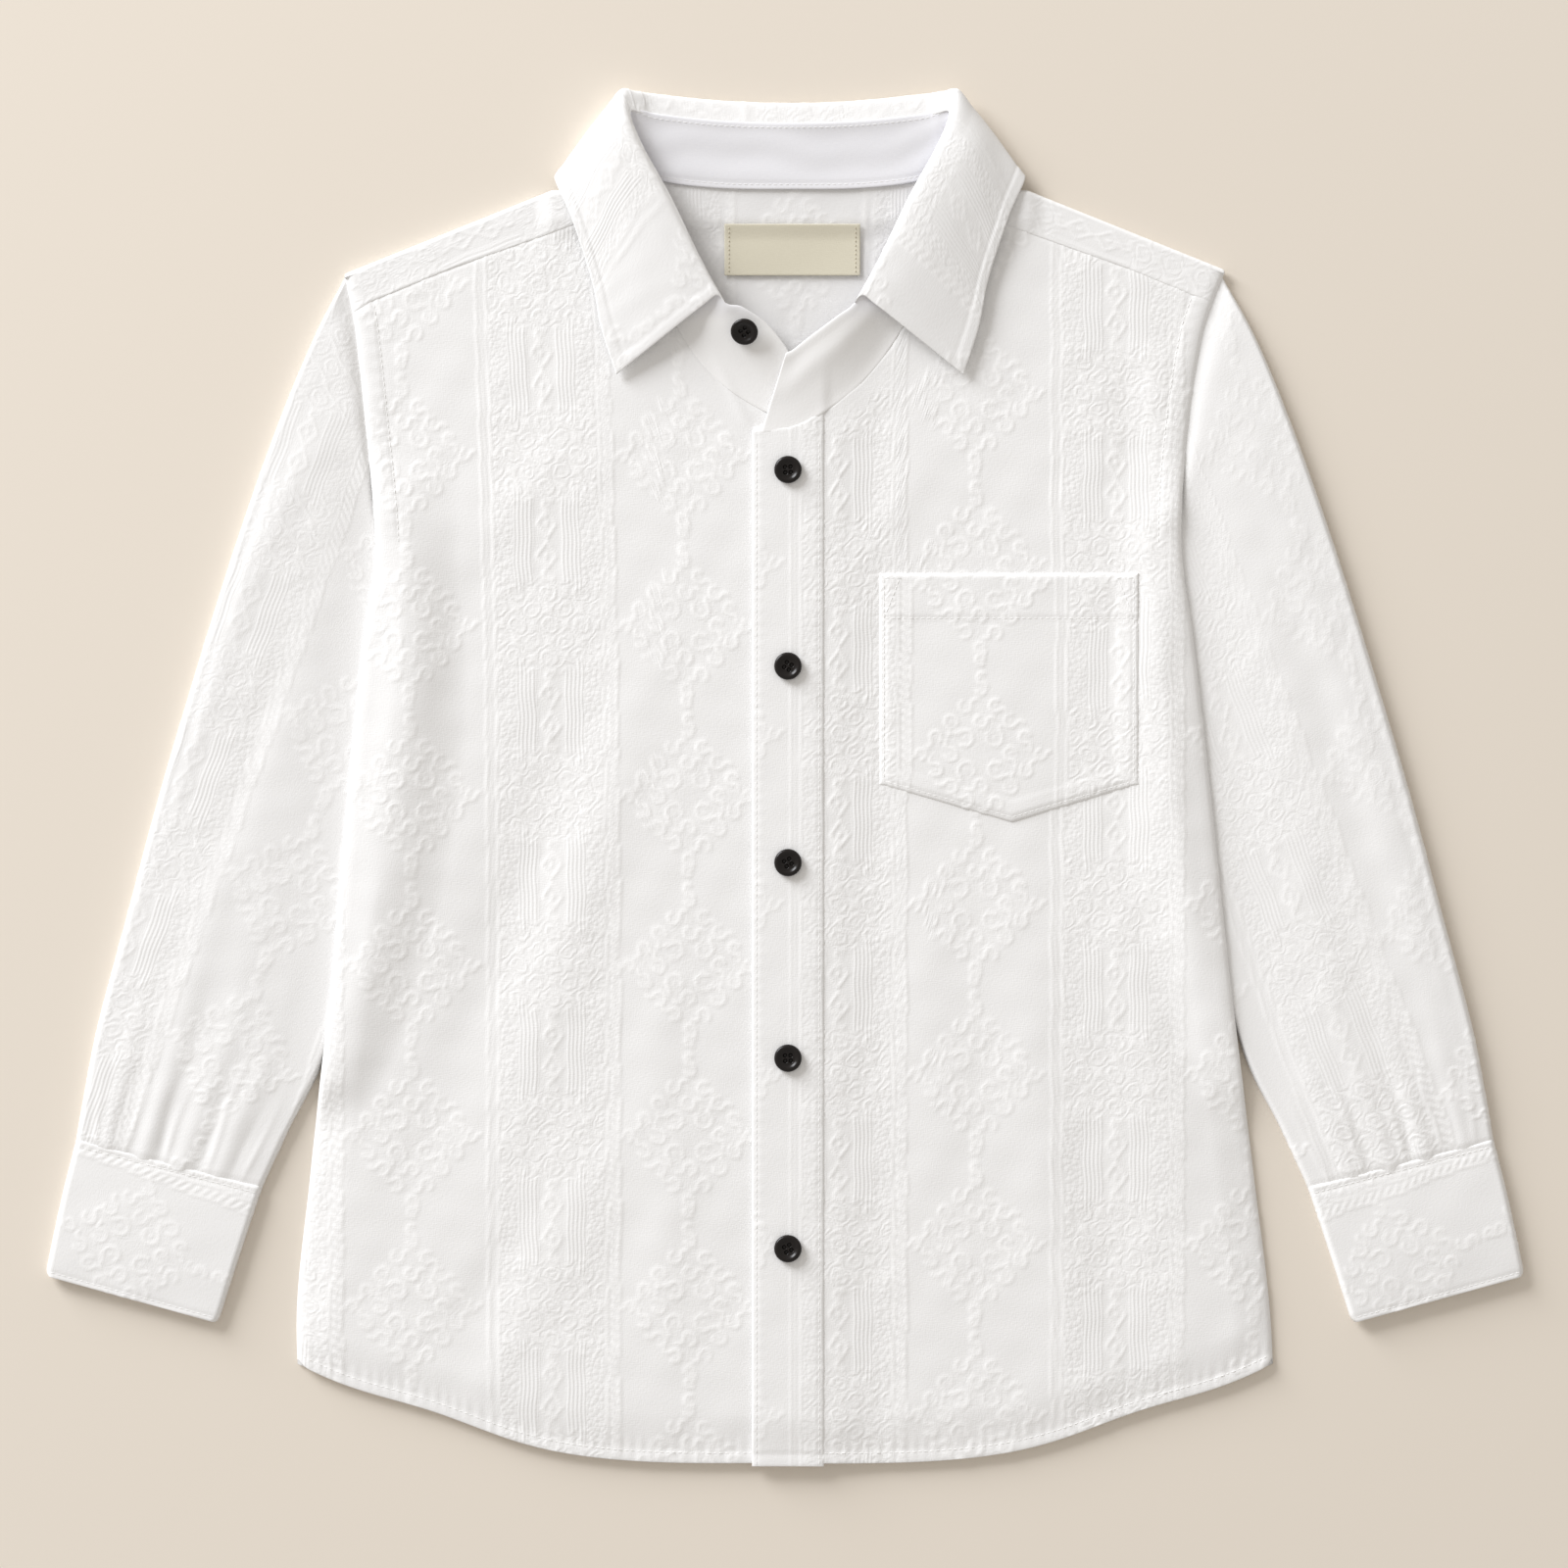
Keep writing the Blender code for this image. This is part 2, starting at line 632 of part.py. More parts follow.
def between(lines, places):
    """Points of a sheet that is drawn through the collar's lines, at places from the first to the last."""
    lines = np.asarray(lines)
    steps = np.linalg.norm(np.diff(lines, axis=0), axis=2).mean(axis=1)
    knots = np.concatenate([[0.0], np.cumsum(steps)])
    rows = np.concatenate([knots[:, None], lines.reshape(len(lines), -1)], axis=1)
    grid = follow(rows, np.asarray(places) * knots[-1]).reshape(len(places), -1, 3)
    grid[..., 2] = np.maximum(grid[..., 2], CLOTH / 2)
    return grid


def stand_grid():
    """Points of the collar's stand, from the neck seam to its top edge."""
    right_low = [row[:3] for row in STAND_END_RIGHT]
    right_high = [row[3:] for row in STAND_END_RIGHT]
    left_low = [row[:3] for row in STAND_END_LEFT]
    left_high = [row[3:] for row in STAND_END_LEFT]
    low = collar_line(NECK_SEAM, right_low, left_low)
    high = collar_line(STAND_TOP, right_high, left_high)
    count = len(low)
    half = np.concatenate([COLLAR_PLACES, np.arange(8.5, 12.1, 0.5)])
    places = (count - 1) / 2 + np.concatenate([-half[:0:-1], half])
    low = follow(low, places)
    high = follow(high, places)
    middle = (low + high) / 2
    middle[:, 2] -= 0.25
    return between([low, middle, high], (0.0, 0.35, 0.7, 1.0))


def leaf_grid():
    """Points of the collar's leaf, from the stand's top edge over the roll to its outer edge."""
    lines = [collar_line(half) for half in (STAND_TOP, ROLL_LINE, LEAF_TURN, LEAF_EDGE)]
    count = len(lines[0])
    places = (count - 1) / 2 + np.concatenate([-COLLAR_PLACES[:0:-1], COLLAR_PLACES])
    start, roll, turn, edge = [follow(line, places) for line in lines]
    away = roll - start
    start = start + away * (1.5 / np.linalg.norm(away, axis=1, keepdims=True))
    return between([start, roll, turn, edge], (0.0, 0.07, 0.14, 0.21, 0.3, 0.5, 0.75, 1.0))


def make_button(name, place, normal, material):
    """Turned button with a raised rim, standing on the cloth below it."""
    profile = ((0.0, 1.3), (3.3, 1.3), (4.0, 2.2), (4.9, 2.2), (5.6, 1.4), (5.2, 0.4), (4.4, 0.0), (0.0, 0.0))
    bm = bmesh.new()
    corners = [bm.verts.new((r / 5.6 * BUTTON_R * MM, 0.0, z * MM)) for r, z in profile]
    for a, b in zip(corners, corners[1:]):
        bm.edges.new((a, b))
    mesh = bpy.data.meshes.new(name)
    bm.to_mesh(mesh)
    bm.free()
    mesh.materials.append(material)
    button = bpy.data.objects.new(name, mesh)
    shirt.objects.link(button)
    screw = button.modifiers.new("Turned", "SCREW")
    screw.steps = 16
    screw.render_steps = 16
    screw.use_merge_vertices = True
    screw.merge_threshold = 0.00001
    button.location = [value * MM for value in place]
    up = np.array([0.0, 0.0, 1.0])
    axis = np.cross(up, normal)
    lean = math.asin(min(np.linalg.norm(axis), 1.0))
    if lean > 0.001:
        button.rotation_mode = "AXIS_ANGLE"
        button.rotation_axis_angle = (lean, axis[0], axis[1], axis[2])
    return button


def collar_button_seat(grid):
    """Place and direction of the collar's button, on the stand's right end."""
    gap = np.hypot(grid[..., 0] - COLLAR_BUTTON_XY[0], grid[..., 1] - COLLAR_BUTTON_XY[1])
    near = gap.flatten().argsort()[:6]
    points = grid.reshape(-1, 3)[near]
    spread = np.linalg.svd(points - points.mean(axis=0))[2]
    normal = spread[2] * np.sign(spread[2][2])
    centre = points.mean(axis=0)
    x, y = COLLAR_BUTTON_XY
    z = centre[2] - (normal[0] * (x - centre[0]) + normal[1] * (y - centre[1])) / normal[2]
    return np.array([x, y, z]) + normal * (CLOTH / 2 + 0.6), normal


def make_label(material):
    """Woven label on the inside of the yoke, below the neck."""
    left, right, low, high = LABEL_BOX
    rows = (0.0, 0.33, 0.62, 0.8, 1.0)
    grid = np.zeros((len(rows), 5, 3))
    for r, part in enumerate(rows):
        for c in range(5):
            x = left + (right - left) * c / 4
            y = low + (high - low) * part
            grid[r, c] = (x, y, back_bottom(x, y) + CLOTH / 2 + LAYER + 0.15)
    return make_sheet("label", [grid], material)


for old in list(bpy.data.objects):
    bpy.data.objects.remove(old, do_unlink=True)
shirt = bpy.data.collections.new("jacquard_shirt")
bpy.context.scene.collection.children.link(shirt)

jacquard = make_material("Jacquard cloth", WHITE_CLOTH, 0.85)
plain = make_material("Plain cloth", PLAIN_CLOTH, 0.8)
label_cloth = make_material("Label cloth", LABEL_CLOTH, 0.7)
black = make_material("Black button", BUTTON_BLACK, 0.25)

make_back(jacquard)
make_yoke(jacquard)
make_front("front_right", -1, jacquard)
make_front("front_left", 1, jacquard)
make_placket(jacquard)
make_sheet("pocket", [pocket_grid(9, 7)], jacquard)
make_sleeve("sleeve_right", -1, jacquard)
make_sleeve("sleeve_left", 1, jacquard)
make_cuff("cuff_right", -1, jacquard)
make_cuff("cuff_left", 1, jacquard)
stand_points = stand_grid()
make_sheet("collar_stand", [stand_points], plain)
make_sheet("collar_leaf", [leaf_grid()], jacquard)
make_label(label_cloth)
for number, button_y in enumerate(BUTTON_Y, start=1):
    button_z = float(front_middle(FRONT_X, button_y, 1)) + LAYER + CLOTH / 2 + SEAM
    make_button(f"button_{number}", (FRONT_X, button_y, button_z), np.array([0.0, 0.0, 1.0]), black)
seat, facing = collar_button_seat(stand_points)
make_button("button_6", seat, facing, black)
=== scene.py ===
"""Boy's jacquard shirt, buttoned and laid flat on its back: its cloth, seams, stitches and buttons.

X runs across the shirt, with +X on the wearer's left, Y from the hem to the collar and Z up from the
surface that it lies on. Sizes are in millimetres here, and become metres where a mesh is made.
"""
import functools
import math

import bpy
import numpy as np
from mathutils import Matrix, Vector
from mathutils.bvhtree import BVHTree


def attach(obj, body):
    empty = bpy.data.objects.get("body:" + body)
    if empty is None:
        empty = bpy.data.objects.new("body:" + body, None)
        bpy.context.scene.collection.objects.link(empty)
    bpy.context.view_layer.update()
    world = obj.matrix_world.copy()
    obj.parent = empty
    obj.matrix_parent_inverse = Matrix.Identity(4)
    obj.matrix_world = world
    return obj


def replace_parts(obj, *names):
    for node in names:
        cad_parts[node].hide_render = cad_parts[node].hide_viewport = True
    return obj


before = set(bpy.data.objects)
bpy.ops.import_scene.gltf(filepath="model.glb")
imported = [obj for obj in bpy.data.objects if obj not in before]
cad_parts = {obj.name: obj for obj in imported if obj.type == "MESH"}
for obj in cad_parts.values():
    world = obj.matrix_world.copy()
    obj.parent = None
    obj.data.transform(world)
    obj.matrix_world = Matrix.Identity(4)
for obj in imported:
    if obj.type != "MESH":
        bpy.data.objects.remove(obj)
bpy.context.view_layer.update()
MM = 0.001

# The surface that the shirt lies on, and the light.
# A smooth cream board, lit softly: a large lamp low on the upper left, and pale walls all round.
BOARD_CREAM = (0.79, 0.722, 0.632, 1)
BOARD_ROUGHNESS = 0.75
BOARD_HALF = 2500
BOARD_DROP = 0.5
VIEW_ACROSS = 640
VIEW_CENTRE = (-0.4, -2.2)
CAMERA_HEIGHT = 2600
SENSOR = 36
LAMP_HEADING = math.radians(135)
LAMP_RISE = math.radians(19)
LAMP_DISTANCE = 5.5
LAMP_SIZE = 2.8
LAMP_WATTS = 425
LAMP_COLOUR = (0.95, 0.967, 1)
WALLS_COLOUR = (1, 0.955, 0.9, 1)
WALLS_LIGHT = 0.56


def put(name, data):
    """A new object in the scene."""
    thing = bpy.data.objects.new(name, data)
    bpy.context.scene.collection.objects.link(thing)
    return thing


def give(node, values):
    """Sets a node's inputs by name."""
    for name, value in values.items():
        node.inputs[name].default_value = value


def new_material(name):
    """A material, its nodes and its shader."""
    material = bpy.data.materials.new(name)
    material.use_nodes = True
    return material, material.node_tree, material.node_tree.nodes["Principled BSDF"]


board_mesh = bpy.data.meshes.new("board")
corners = [
    (x * BOARD_HALF * MM, y * BOARD_HALF * MM, -BOARD_DROP * MM) for x, y in ((-1, -1), (1, -1), (1, 1), (-1, 1))
]
board_mesh.from_pydata(corners, [], [(0, 1, 2, 3)])
board = put("board", board_mesh)
paper, _, paper_shader = new_material("Cream board")
give(paper_shader, {"Base Color": BOARD_CREAM, "Roughness": BOARD_ROUGHNESS})
board_mesh.materials.append(paper)

walls = bpy.data.worlds.new("Pale walls")
walls.use_nodes = True
give(walls.node_tree.nodes["Background"], {"Color": WALLS_COLOUR, "Strength": WALLS_LIGHT})
bpy.context.scene.world = walls

lamp_data = bpy.data.lights.new("window", "AREA")
lamp_data.shape = "SQUARE"
lamp_data.size = LAMP_SIZE
lamp_data.energy = LAMP_WATTS
lamp_data.color = LAMP_COLOUR
lamp = put("window", lamp_data)
level_reach = math.cos(LAMP_RISE)
lamp.location = LAMP_DISTANCE * Vector(
    (math.cos(LAMP_HEADING) * level_reach, math.sin(LAMP_HEADING) * level_reach, math.sin(LAMP_RISE))
)
lamp.rotation_euler = (-lamp.location).to_track_quat("-Z", "Y").to_euler()

camera_data = bpy.data.cameras.new("above")
camera_data.sensor_width = SENSOR
camera_data.lens = SENSOR * CAMERA_HEIGHT / VIEW_ACROSS
camera = put("above", camera_data)
camera.location = (VIEW_CENTRE[0] * MM, VIEW_CENTRE[1] * MM, CAMERA_HEIGHT * MM)
bpy.context.scene.camera = camera
bpy.context.scene.view_settings.view_transform = "Standard"

# Back panel.
# One piece of white cotton jacquard below the yoke: matt ground cloth with raised bands and figures.
# It lies face down on the board, and is sewn to the fronts down both sides.
CLOTH = 1
SEAM = 0.3
LAYER = CLOTH + SEAM
BODY_HEM_Y = -280.6
HEM_RISE = 42
HEM_HALF_WIDTH = 199
HEM_POWER = 2.6
# Where the hem is higher than its plain curve: distance from the middle, width of the rise, height
HEM_RISES = ((144, 33, 4.8), (0, 60, 1.8))
YOKE_SEAM_Y = 167
UNDERARM_Y = 94
NECK_X = 2
SLEEVE_LIFT = 3.3
# The body's sides: y, half width on the wearer's right, half width on the left
SIDE_EDGE = (
    (-239, 198.6, 198.8), (-226, 199, 198.2), (-162, 193.4, 191), (-82, 184.6, 181.2), (-2, 177.6, 172.8),
    (58, 171.4, 166), (94, 166.6, 161.4), (118, 168.2, 161.9), (144, 171, 164.4), (166, 173.2, 167.4),
    (186, 175.6, 171.4), (207, 179.8, 179.2),
)
# Across a sleeve: x and y of its outer fold, x and y of its inner fold, bow, height, share not under the body
SLEEVE_SECTIONS = (
    (191.6, 179.8, 162.4, 73.8, 0.6, 3, 0.8), (206, 145, 158.8, 49.8, 0.25, 3.3, 0.74),
    (222, 99.8, 159.2, 21.8, 0.08, 3.4, 0.75), (238.4, 47.8, 162, -6.2, 0, 3.4, 0.79),
    (254.4, -6.2, 166.8, -38.2, 0, 3.4, 0.84), (268.4, -58.2, 175.6, -72.2, 0, 3.4, 0.9),
    (279.6, -100.2, 188.4, -114.2, 0, 3.3, 0.98), (285.2, -128.2, 202.4, -142.2, 0, 3.1, 1.1),
    (288.6, -147.8, 214, -167.2, 0, 2.7, 1.2),
)


def smooth(value):
    """Smooth step from 0 to 1."""
    t = np.clip(value, 0, 1)
    return t * t * (3 - 2 * t)


def ridge(distance, width):
    """A soft ridge: 1 along its middle, and falling away on both sides."""
    return np.exp(-((distance / width) ** 2))


def part_way(start, end, share):
    """A place between two others."""
    return start + (end - start) * share


def joined(*parts):
    """One grid of points from its x, y and z."""
    return np.stack(np.broadcast_arrays(*parts), -1)


def unit(ways):
    """Ways of length 1."""
    return ways / np.maximum(np.linalg.norm(ways, axis=-1, keepdims=True), 1e-9)


def settle(curve, start):
    """Where a place and the curve that it lies on agree."""
    for _ in range(12):
        start = curve(start)
    return start


def follow(table, where):
    """Smooth curve through a table's rows. The first column is the place, the others are values."""
    rows = np.asarray(table, float)
    knots = rows[:, 0]
    values = rows[:, 1:]
    slopes = np.gradient(values, knots, axis=0)
    where = np.clip(np.asarray(where, float), knots[0], knots[-1])
    low = np.clip(np.searchsorted(knots, where, side="right") - 1, 0, len(knots) - 2)
    span = knots[low + 1] - knots[low]
    t = ((where - knots[low]) / span)[..., None]
    span = span[..., None]
    result = (
        (2 * t**3 - 3 * t**2 + 1) * values[low]
        + (t**3 - 2 * t**2 + t) * span * slopes[low]
        + (3 * t**2 - 2 * t**3) * values[low + 1]
        + (t**3 - t**2) * span * slopes[low + 1]
    )
    return result[..., 0] if result.shape[-1] == 1 else result


def half_width(y, side):
    """Half width of the body at a height up the shirt. Side is -1 on the wearer's right, 1 on the left."""
    widths = follow(SIDE_EDGE, y)
    return np.where(np.asarray(side) < 0, widths[..., 0], widths[..., 1])


def hem_y(x):
    """Curved shirt-tail hem, a little higher in the middle and straighter towards each side."""
    y = BODY_HEM_Y + HEM_RISE * np.minimum(np.abs(x) / HEM_HALF_WIDTH, 1) ** HEM_POWER
    for out, width, rise in HEM_RISES:
        y = y + rise * ridge(np.abs(x) - out, width)
    return y


def back_bottom(x, y):
    """Underside of the back and the yoke, lifted over the sleeves and over the collar's back leaf."""
    _, _, inner_x, inner_y, *_ = np.transpose(SLEEVE_SECTIONS[::-1])
    inner = np.interp(y, inner_y, inner_x)
    sleeve = SLEEVE_LIFT * smooth((np.abs(x) - inner + 30) / 28)
    sleeve = sleeve * smooth((142 - y) / 50) * smooth((y + 146) / 24)
    return sleeve + LAYER * smooth((y - 219) / 10) * smooth((104 - np.abs(x - NECK_X)) / 8)


def panel(x_at, bottom, top, columns, rows):
    """Places on a body panel, from its hem to its upper edge. x_at gives x for shares across at heights y."""
    share = np.linspace(0, 1, columns)[None, :]
    low = settle(lambda y: bottom(x_at(share, y)), np.full((1, columns), BODY_HEM_Y))
    high = settle(lambda y: top(x_at(share, y)), np.full((1, columns), UNDERARM_Y))
    y = part_way(low, high, np.linspace(0, 1, rows)[:, None])
    return x_at(share, y), y


# The chart of the weave, in millimetres across (u) and up (v) the cloth. A ribbed band 54 wide and a
# plain stripe 58 wide repeat across. Every 69.4 up, the band opens into scrolls and the stripe bears a
# diamond of scrolls.
BAND_PITCH = 113
BAND_WIDE = 54.3
BAND_MIDDLE = 26.6
DIAMOND_AT = 82.4
FIGURE_RISE = 69.4
DIAMOND_STEP = (6.1, 6.6)
SCROLL_REACH = 11
LATTICE_STEP = (6.7, 6.6)


def bar(value, low, high, soft=0.6):
    """1 between two places, with soft edges."""
    return smooth((value - low) / soft + 0.5) * smooth((high - value) / soft + 0.5)


def arc(x, y, centre, radius, start, end, half=0.66):
    """A woven stroke along part of a circle: 1 on it, 0 off it. Angles are in degrees."""
    dx = x - centre[0]
    dy = y - centre[1]
    turn = (np.degrees(np.arctan2(dy, dx)) - start) % 360
    tips = []
    for angle in (start, end):
        a = math.radians(angle)
        tips.append(np.hypot(dx - radius * math.cos(a), dy - radius * math.sin(a)))
    gap = np.where(turn <= end - start, np.abs(np.hypot(dx, dy) - radius), np.minimum(tips[0], tips[1]))
    return smooth((half + 0.45 - gap) / 0.9)


def scroll(x, y, centre, radius, turn, sweep=250, tail=120):
    """A woven S: most of a ring, a tail that turns the other way from its end, and a knot inside."""
    last = math.radians(turn + sweep)
    small = 0.8 * radius
    joint = (centre[0] + (radius + small) * math.cos(last), centre[1] + (radius + small) * math.sin(last))
    back = turn + sweep + 180
    figure = np.maximum(
        arc(x, y, centre, radius, turn, turn + sweep), arc(x, y, joint, small, back - tail, back)
    )
    knot = 0.6 * smooth((1.25 - np.hypot(x - centre[0], y - centre[1])) / 0.8)
    return np.maximum(figure, knot)


def diamond_scrolls(x, y):
    """The scrolls of one diamond, on their diagonal lattice."""
    total = np.zeros(x.shape)
    for i, j, radius, turn, tail in DIAMOND_CELLS:
        for way, half_round in ((1, 0), (-1, 180)):
            centre = (DIAMOND_STEP[0] * way * (i + j), DIAMOND_STEP[1] * way * (i - j))
            near = (np.abs(x - centre[0]) < SCROLL_REACH) & (np.abs(y - centre[1]) < SCROLL_REACH)
            if near.any():
                figure = scroll(x[near], y[near], centre, radius, (turn + half_round) % 360, 250, tail)
                total[near] = np.maximum(total[near], figure)
    return total


# The diamond's scrolls: lattice numbers, radius, turn and tail. Each has its opposite, turned half round.
DIAMOND_CELLS = (
    (1, 0, 3.3, 150, 60), (0, 1, 3.3, 60, 60), (1, 1, 2.5, 20, 120), (1, -1, 2.4, 110, 130),
    (2, 0, 2.6, 80, 100), (0, 2, 2.6, 170, 100), (2, 1, 2.3, 30, 120), (1, 2, 2.3, 140, 120),
    (2, -1, 2.4, 60, 120), (1, -2, 2.4, 120, 120), (2, 2, 2, 100, 90), (2, -2, 2, 200, 150),
)


def net(x, y):
    """The scroll block's net: leaning strokes that cross between cells, and an open ring in each cell."""
    x = x + 0.9 * np.sin(math.pi * y / LATTICE_STEP[1])
    level = np.cos(math.pi * x / LATTICE_STEP[0]) + np.cos(math.pi * y / LATTICE_STEP[1])
    lean = np.sin(math.pi * x / LATTICE_STEP[0]) * np.sin(math.pi * y / LATTICE_STEP[1])
    strokes = smooth((0.3 - np.abs(level)) / 0.22) * (0.55 + 0.45 * smooth(2 * lean + 0.5))
    opening = np.arctan2(lean, level)
    rings = smooth((0.26 - np.abs(np.abs(level) - 1.28)) / 0.2) * smooth(1.5 - 1.6 * np.cos(opening - 2.2))
    knots = 0.7 * smooth((np.abs(level) - 1.86) / 0.1)
    return 0.85 * np.maximum(np.maximum(strokes, rings), knots)


def weave_chart(u, v, strength=1):
    """What the loom does at each place: raised figure, straight ribs, pebbled crepe and fine curls, each
    0 to 1. u is 0 at a band's left edge, and v is 0 at the middle of a scroll block and of a diamond.
    It also gives u and v themselves, a little uneven as the yarns lie."""
    ease_u = u + 0.35 * np.sin(v / 7 + 0.4) * np.sin(u / 11) + 0.2 * np.sin(v / 2.9)
    ease_v = v + 0.35 * np.sin(u / 6 + 1.1) * np.sin(v / 13) + 0.2 * np.sin(u / 2.7)
    b = ease_u % BAND_PITCH
    upright = (ease_v + FIGURE_RISE / 2) % FIGURE_RISE - FIGURE_RISE / 2
    inside = b < BAND_WIDE
    middle = b - BAND_MIDDLE
    block = bar(np.abs(upright), -9, 17.6 - 4 * bar(np.abs(middle), 10.5, 22), 3.4)
    ribs_row = 1 - block
    lattice = bar(b, 5.6, 47.6) * bar(np.abs(upright), -9, 19.5) * net(middle, upright)
    chain_y = ease_v % FIGURE_RISE - FIGURE_RISE / 2
    lozenge = np.abs(middle) / 4 + np.abs(np.abs(chain_y) - 6.6) / 5.8
    chain = smooth((0.26 - np.abs(lozenge - 1)) / 0.2) + smooth((0.34 - lozenge) / 0.2)
    leaf_mark = scroll(middle, np.abs(chain_y) - 14.2, (0.6, 0), 2.2, 40, 200, 140)
    chain = np.maximum(np.clip(chain, 0, 1), leaf_mark) * ribs_row * bar(b, 20.9, 32)
    strand = np.abs(((ease_v + 0.9 * (b - 51.6)) % 3.7) - 1.85)
    rope = bar(b, 49.9, 53.3) * smooth((1.3 - strand) / 0.7)
    lines = bar(b, 0.1, 0.9) + 0.5 * bar(b, 1.9, 2.6) + bar(b, 4.2, 5) + bar(b, 48.4, 49.2) + bar(b, 53.5, 54.4)
    band = np.maximum(np.maximum(lattice, chain), np.maximum(rope, lines))
    rib_columns = ribs_row * (bar(b, 13, 20.9) + bar(b, 32.1, 40.2))
    pebbles = ribs_row * (bar(b, 5.4, 12.8) + bar(b, 40.4, 47.9))
    across_stripe = b - DIAMOND_AT
    diamond = diamond_scrolls(across_stripe, upright)
    link = scroll(across_stripe, np.abs(upright) - 31.2, (0, 0), 1.9, 60, 220, 130)
    figure = np.where(inside, band, 0.85 * np.maximum(diamond, link))
    curls_band = bar(b, 5.6, 47.6) * block
    curls_diamond = smooth((1.02 - np.abs(across_stripe) / 25 - np.abs(upright) / 27) / 0.14)
    worn = 0.82 + 0.18 * np.sin(u / 5.3 + 1.7 * np.sin(v / 8.1)) * np.sin(v / 4.7)
    return {
        "figure": np.clip(figure, 0, 1) * worn * strength,
        "ribs": np.where(inside, np.clip(rib_columns, 0, 1), 0) * strength,
        "pebbles": np.where(inside, np.clip(pebbles, 0, 1), 0) * strength,
        "curls": np.where(inside, curls_band, 0.4 * curls_diamond) * strength,
    }, np.stack([ease_u, ease_v, np.zeros(u.shape)], axis=-1)


def add_math(tree, operation, first, second=None, third=None):
    """A Math node on sockets or numbers, and its output."""
    node = tree.nodes.new("ShaderNodeMath")
    node.operation = operation
    for slot, value in zip(node.inputs, (first, second, third)):
        if isinstance(value, (int, float)):
            slot.default_value = value
        elif value is not None:
            tree.links.new(value, slot)
    return node.outputs[0]


RIB_PITCH = 1.65
CURL_PITCH = 1.28
CHART_LAYERS = ("figure", "ribs", "pebbles", "curls")


def make_yarn_group():
    """Woven cotton close up: warp and weft yarns, ribs, pebbles and curls, as a height and a tone. The tone holds
    the yarns' random unevenness, the figure, and painted shade: the crests of the ribs, pebbles and curls lighter
    and their grooves darker.
    """
    tree = bpy.data.node_groups.new("Cotton yarns", "ShaderNodeTree")
    tree.interface.new_socket("cloth", in_out="INPUT", socket_type="NodeSocketVector")
    for name in CHART_LAYERS:
        tree.interface.new_socket(name, in_out="INPUT", socket_type="NodeSocketFloat")
    for name in ("Height", "Tone and groove shade"):
        tree.interface.new_socket(name, in_out="OUTPUT", socket_type="NodeSocketFloat")
    given = tree.nodes.new("NodeGroupInput")
    made = tree.nodes.new("NodeGroupOutput")
    cloth, figure, ribs, pebbles, curls = [given.outputs[name] for name in ("cloth",) + CHART_LAYERS]
    calc = functools.partial(add_math, tree)
    times = functools.partial(add_math, tree, "MULTIPLY")
    times_plus = functools.partial(add_math, tree, "MULTIPLY_ADD")

    def rounded_lines(place, pitch, where):
        wave = calc("COSINE", times(place, 2 * math.pi / pitch))
        return times(times_plus(wave, 0.5, 0.5), where)

    def noise(scale, place):
        node = tree.nodes.new("ShaderNodeTexNoise")
        give(node, {"Scale": scale, "Detail": 1})
        tree.links.new(place, node.inputs["Vector"])
        return node.outputs[0]

    split = tree.nodes.new("ShaderNodeSeparateXYZ")
    tree.links.new(cloth, split.inputs[0])
    u, v = split.outputs[0], split.outputs[1]
    grain = []
    for across, along in ((2.2, 0.5), (0.5, 2.2), (1.1, 1.1)):
        stretched = tree.nodes.new("ShaderNodeCombineXYZ")
        tree.links.new(times(u, across), stretched.inputs[0])
        tree.links.new(times(v, along), stretched.inputs[1])
        grain.append(noise(1, stretched.outputs[0]))
    yarns = calc("ADD", grain[0], grain[1])
    rib = rounded_lines(u, RIB_PITCH, ribs)
    cells = tree.nodes.new("ShaderNodeTexVoronoi")
    give(cells, {"Scale": 0.55})
    tree.links.new(cloth, cells.inputs["Vector"])
    pebble = times(calc("SUBTRACT", 0.75, cells.outputs["Distance"]), pebbles)
    satin = times(figure, grain[2])
    place = calc("FLOORED_MODULO", u, BAND_PITCH)
    stripe = calc("GREATER_THAN", place, BAND_WIDE)
    centre = times_plus(stripe, DIAMOND_AT - BAND_MIDDLE, BAND_MIDDLE)
    rise = calc("FLOORED_MODULO", calc("ADD", v, FIGURE_RISE / 2), FIGURE_RISE)
    rise = times(calc("SUBTRACT", rise, FIGURE_RISE / 2), math.pi / LATTICE_STEP[1])
    sway = times_plus(calc("SINE", rise), 0.9, calc("SUBTRACT", place, centre))
    sway = calc("COSINE", times(sway, math.pi / LATTICE_STEP[0]))
    level = calc("ADD", calc("COSINE", rise), sway)
    level = times_plus(calc("SUBTRACT", noise(0.3, cloth), 0.5), 2.4, level)
    curl = rounded_lines(level, CURL_PITCH, curls)
    raised = times_plus(curl, 0.34, calc("ADD", times(rib, 0.5), pebble))
    height = times_plus(yarns, 0.35, times_plus(satin, 0.5, raised))
    # Painted shade: the raised ribs, pebbles and curls make the colour lighter on their crests and darker in
    # their grooves. The yarns' part is random unevenness.
    tone = times_plus(yarns, 0.25, times(raised, 0.5))
    tree.links.new(height, made.inputs["Height"])
    tree.links.new(calc("ADD", tone, figure), made.inputs["Tone and groove shade"])
    return tree


yarn_group = make_yarn_group()


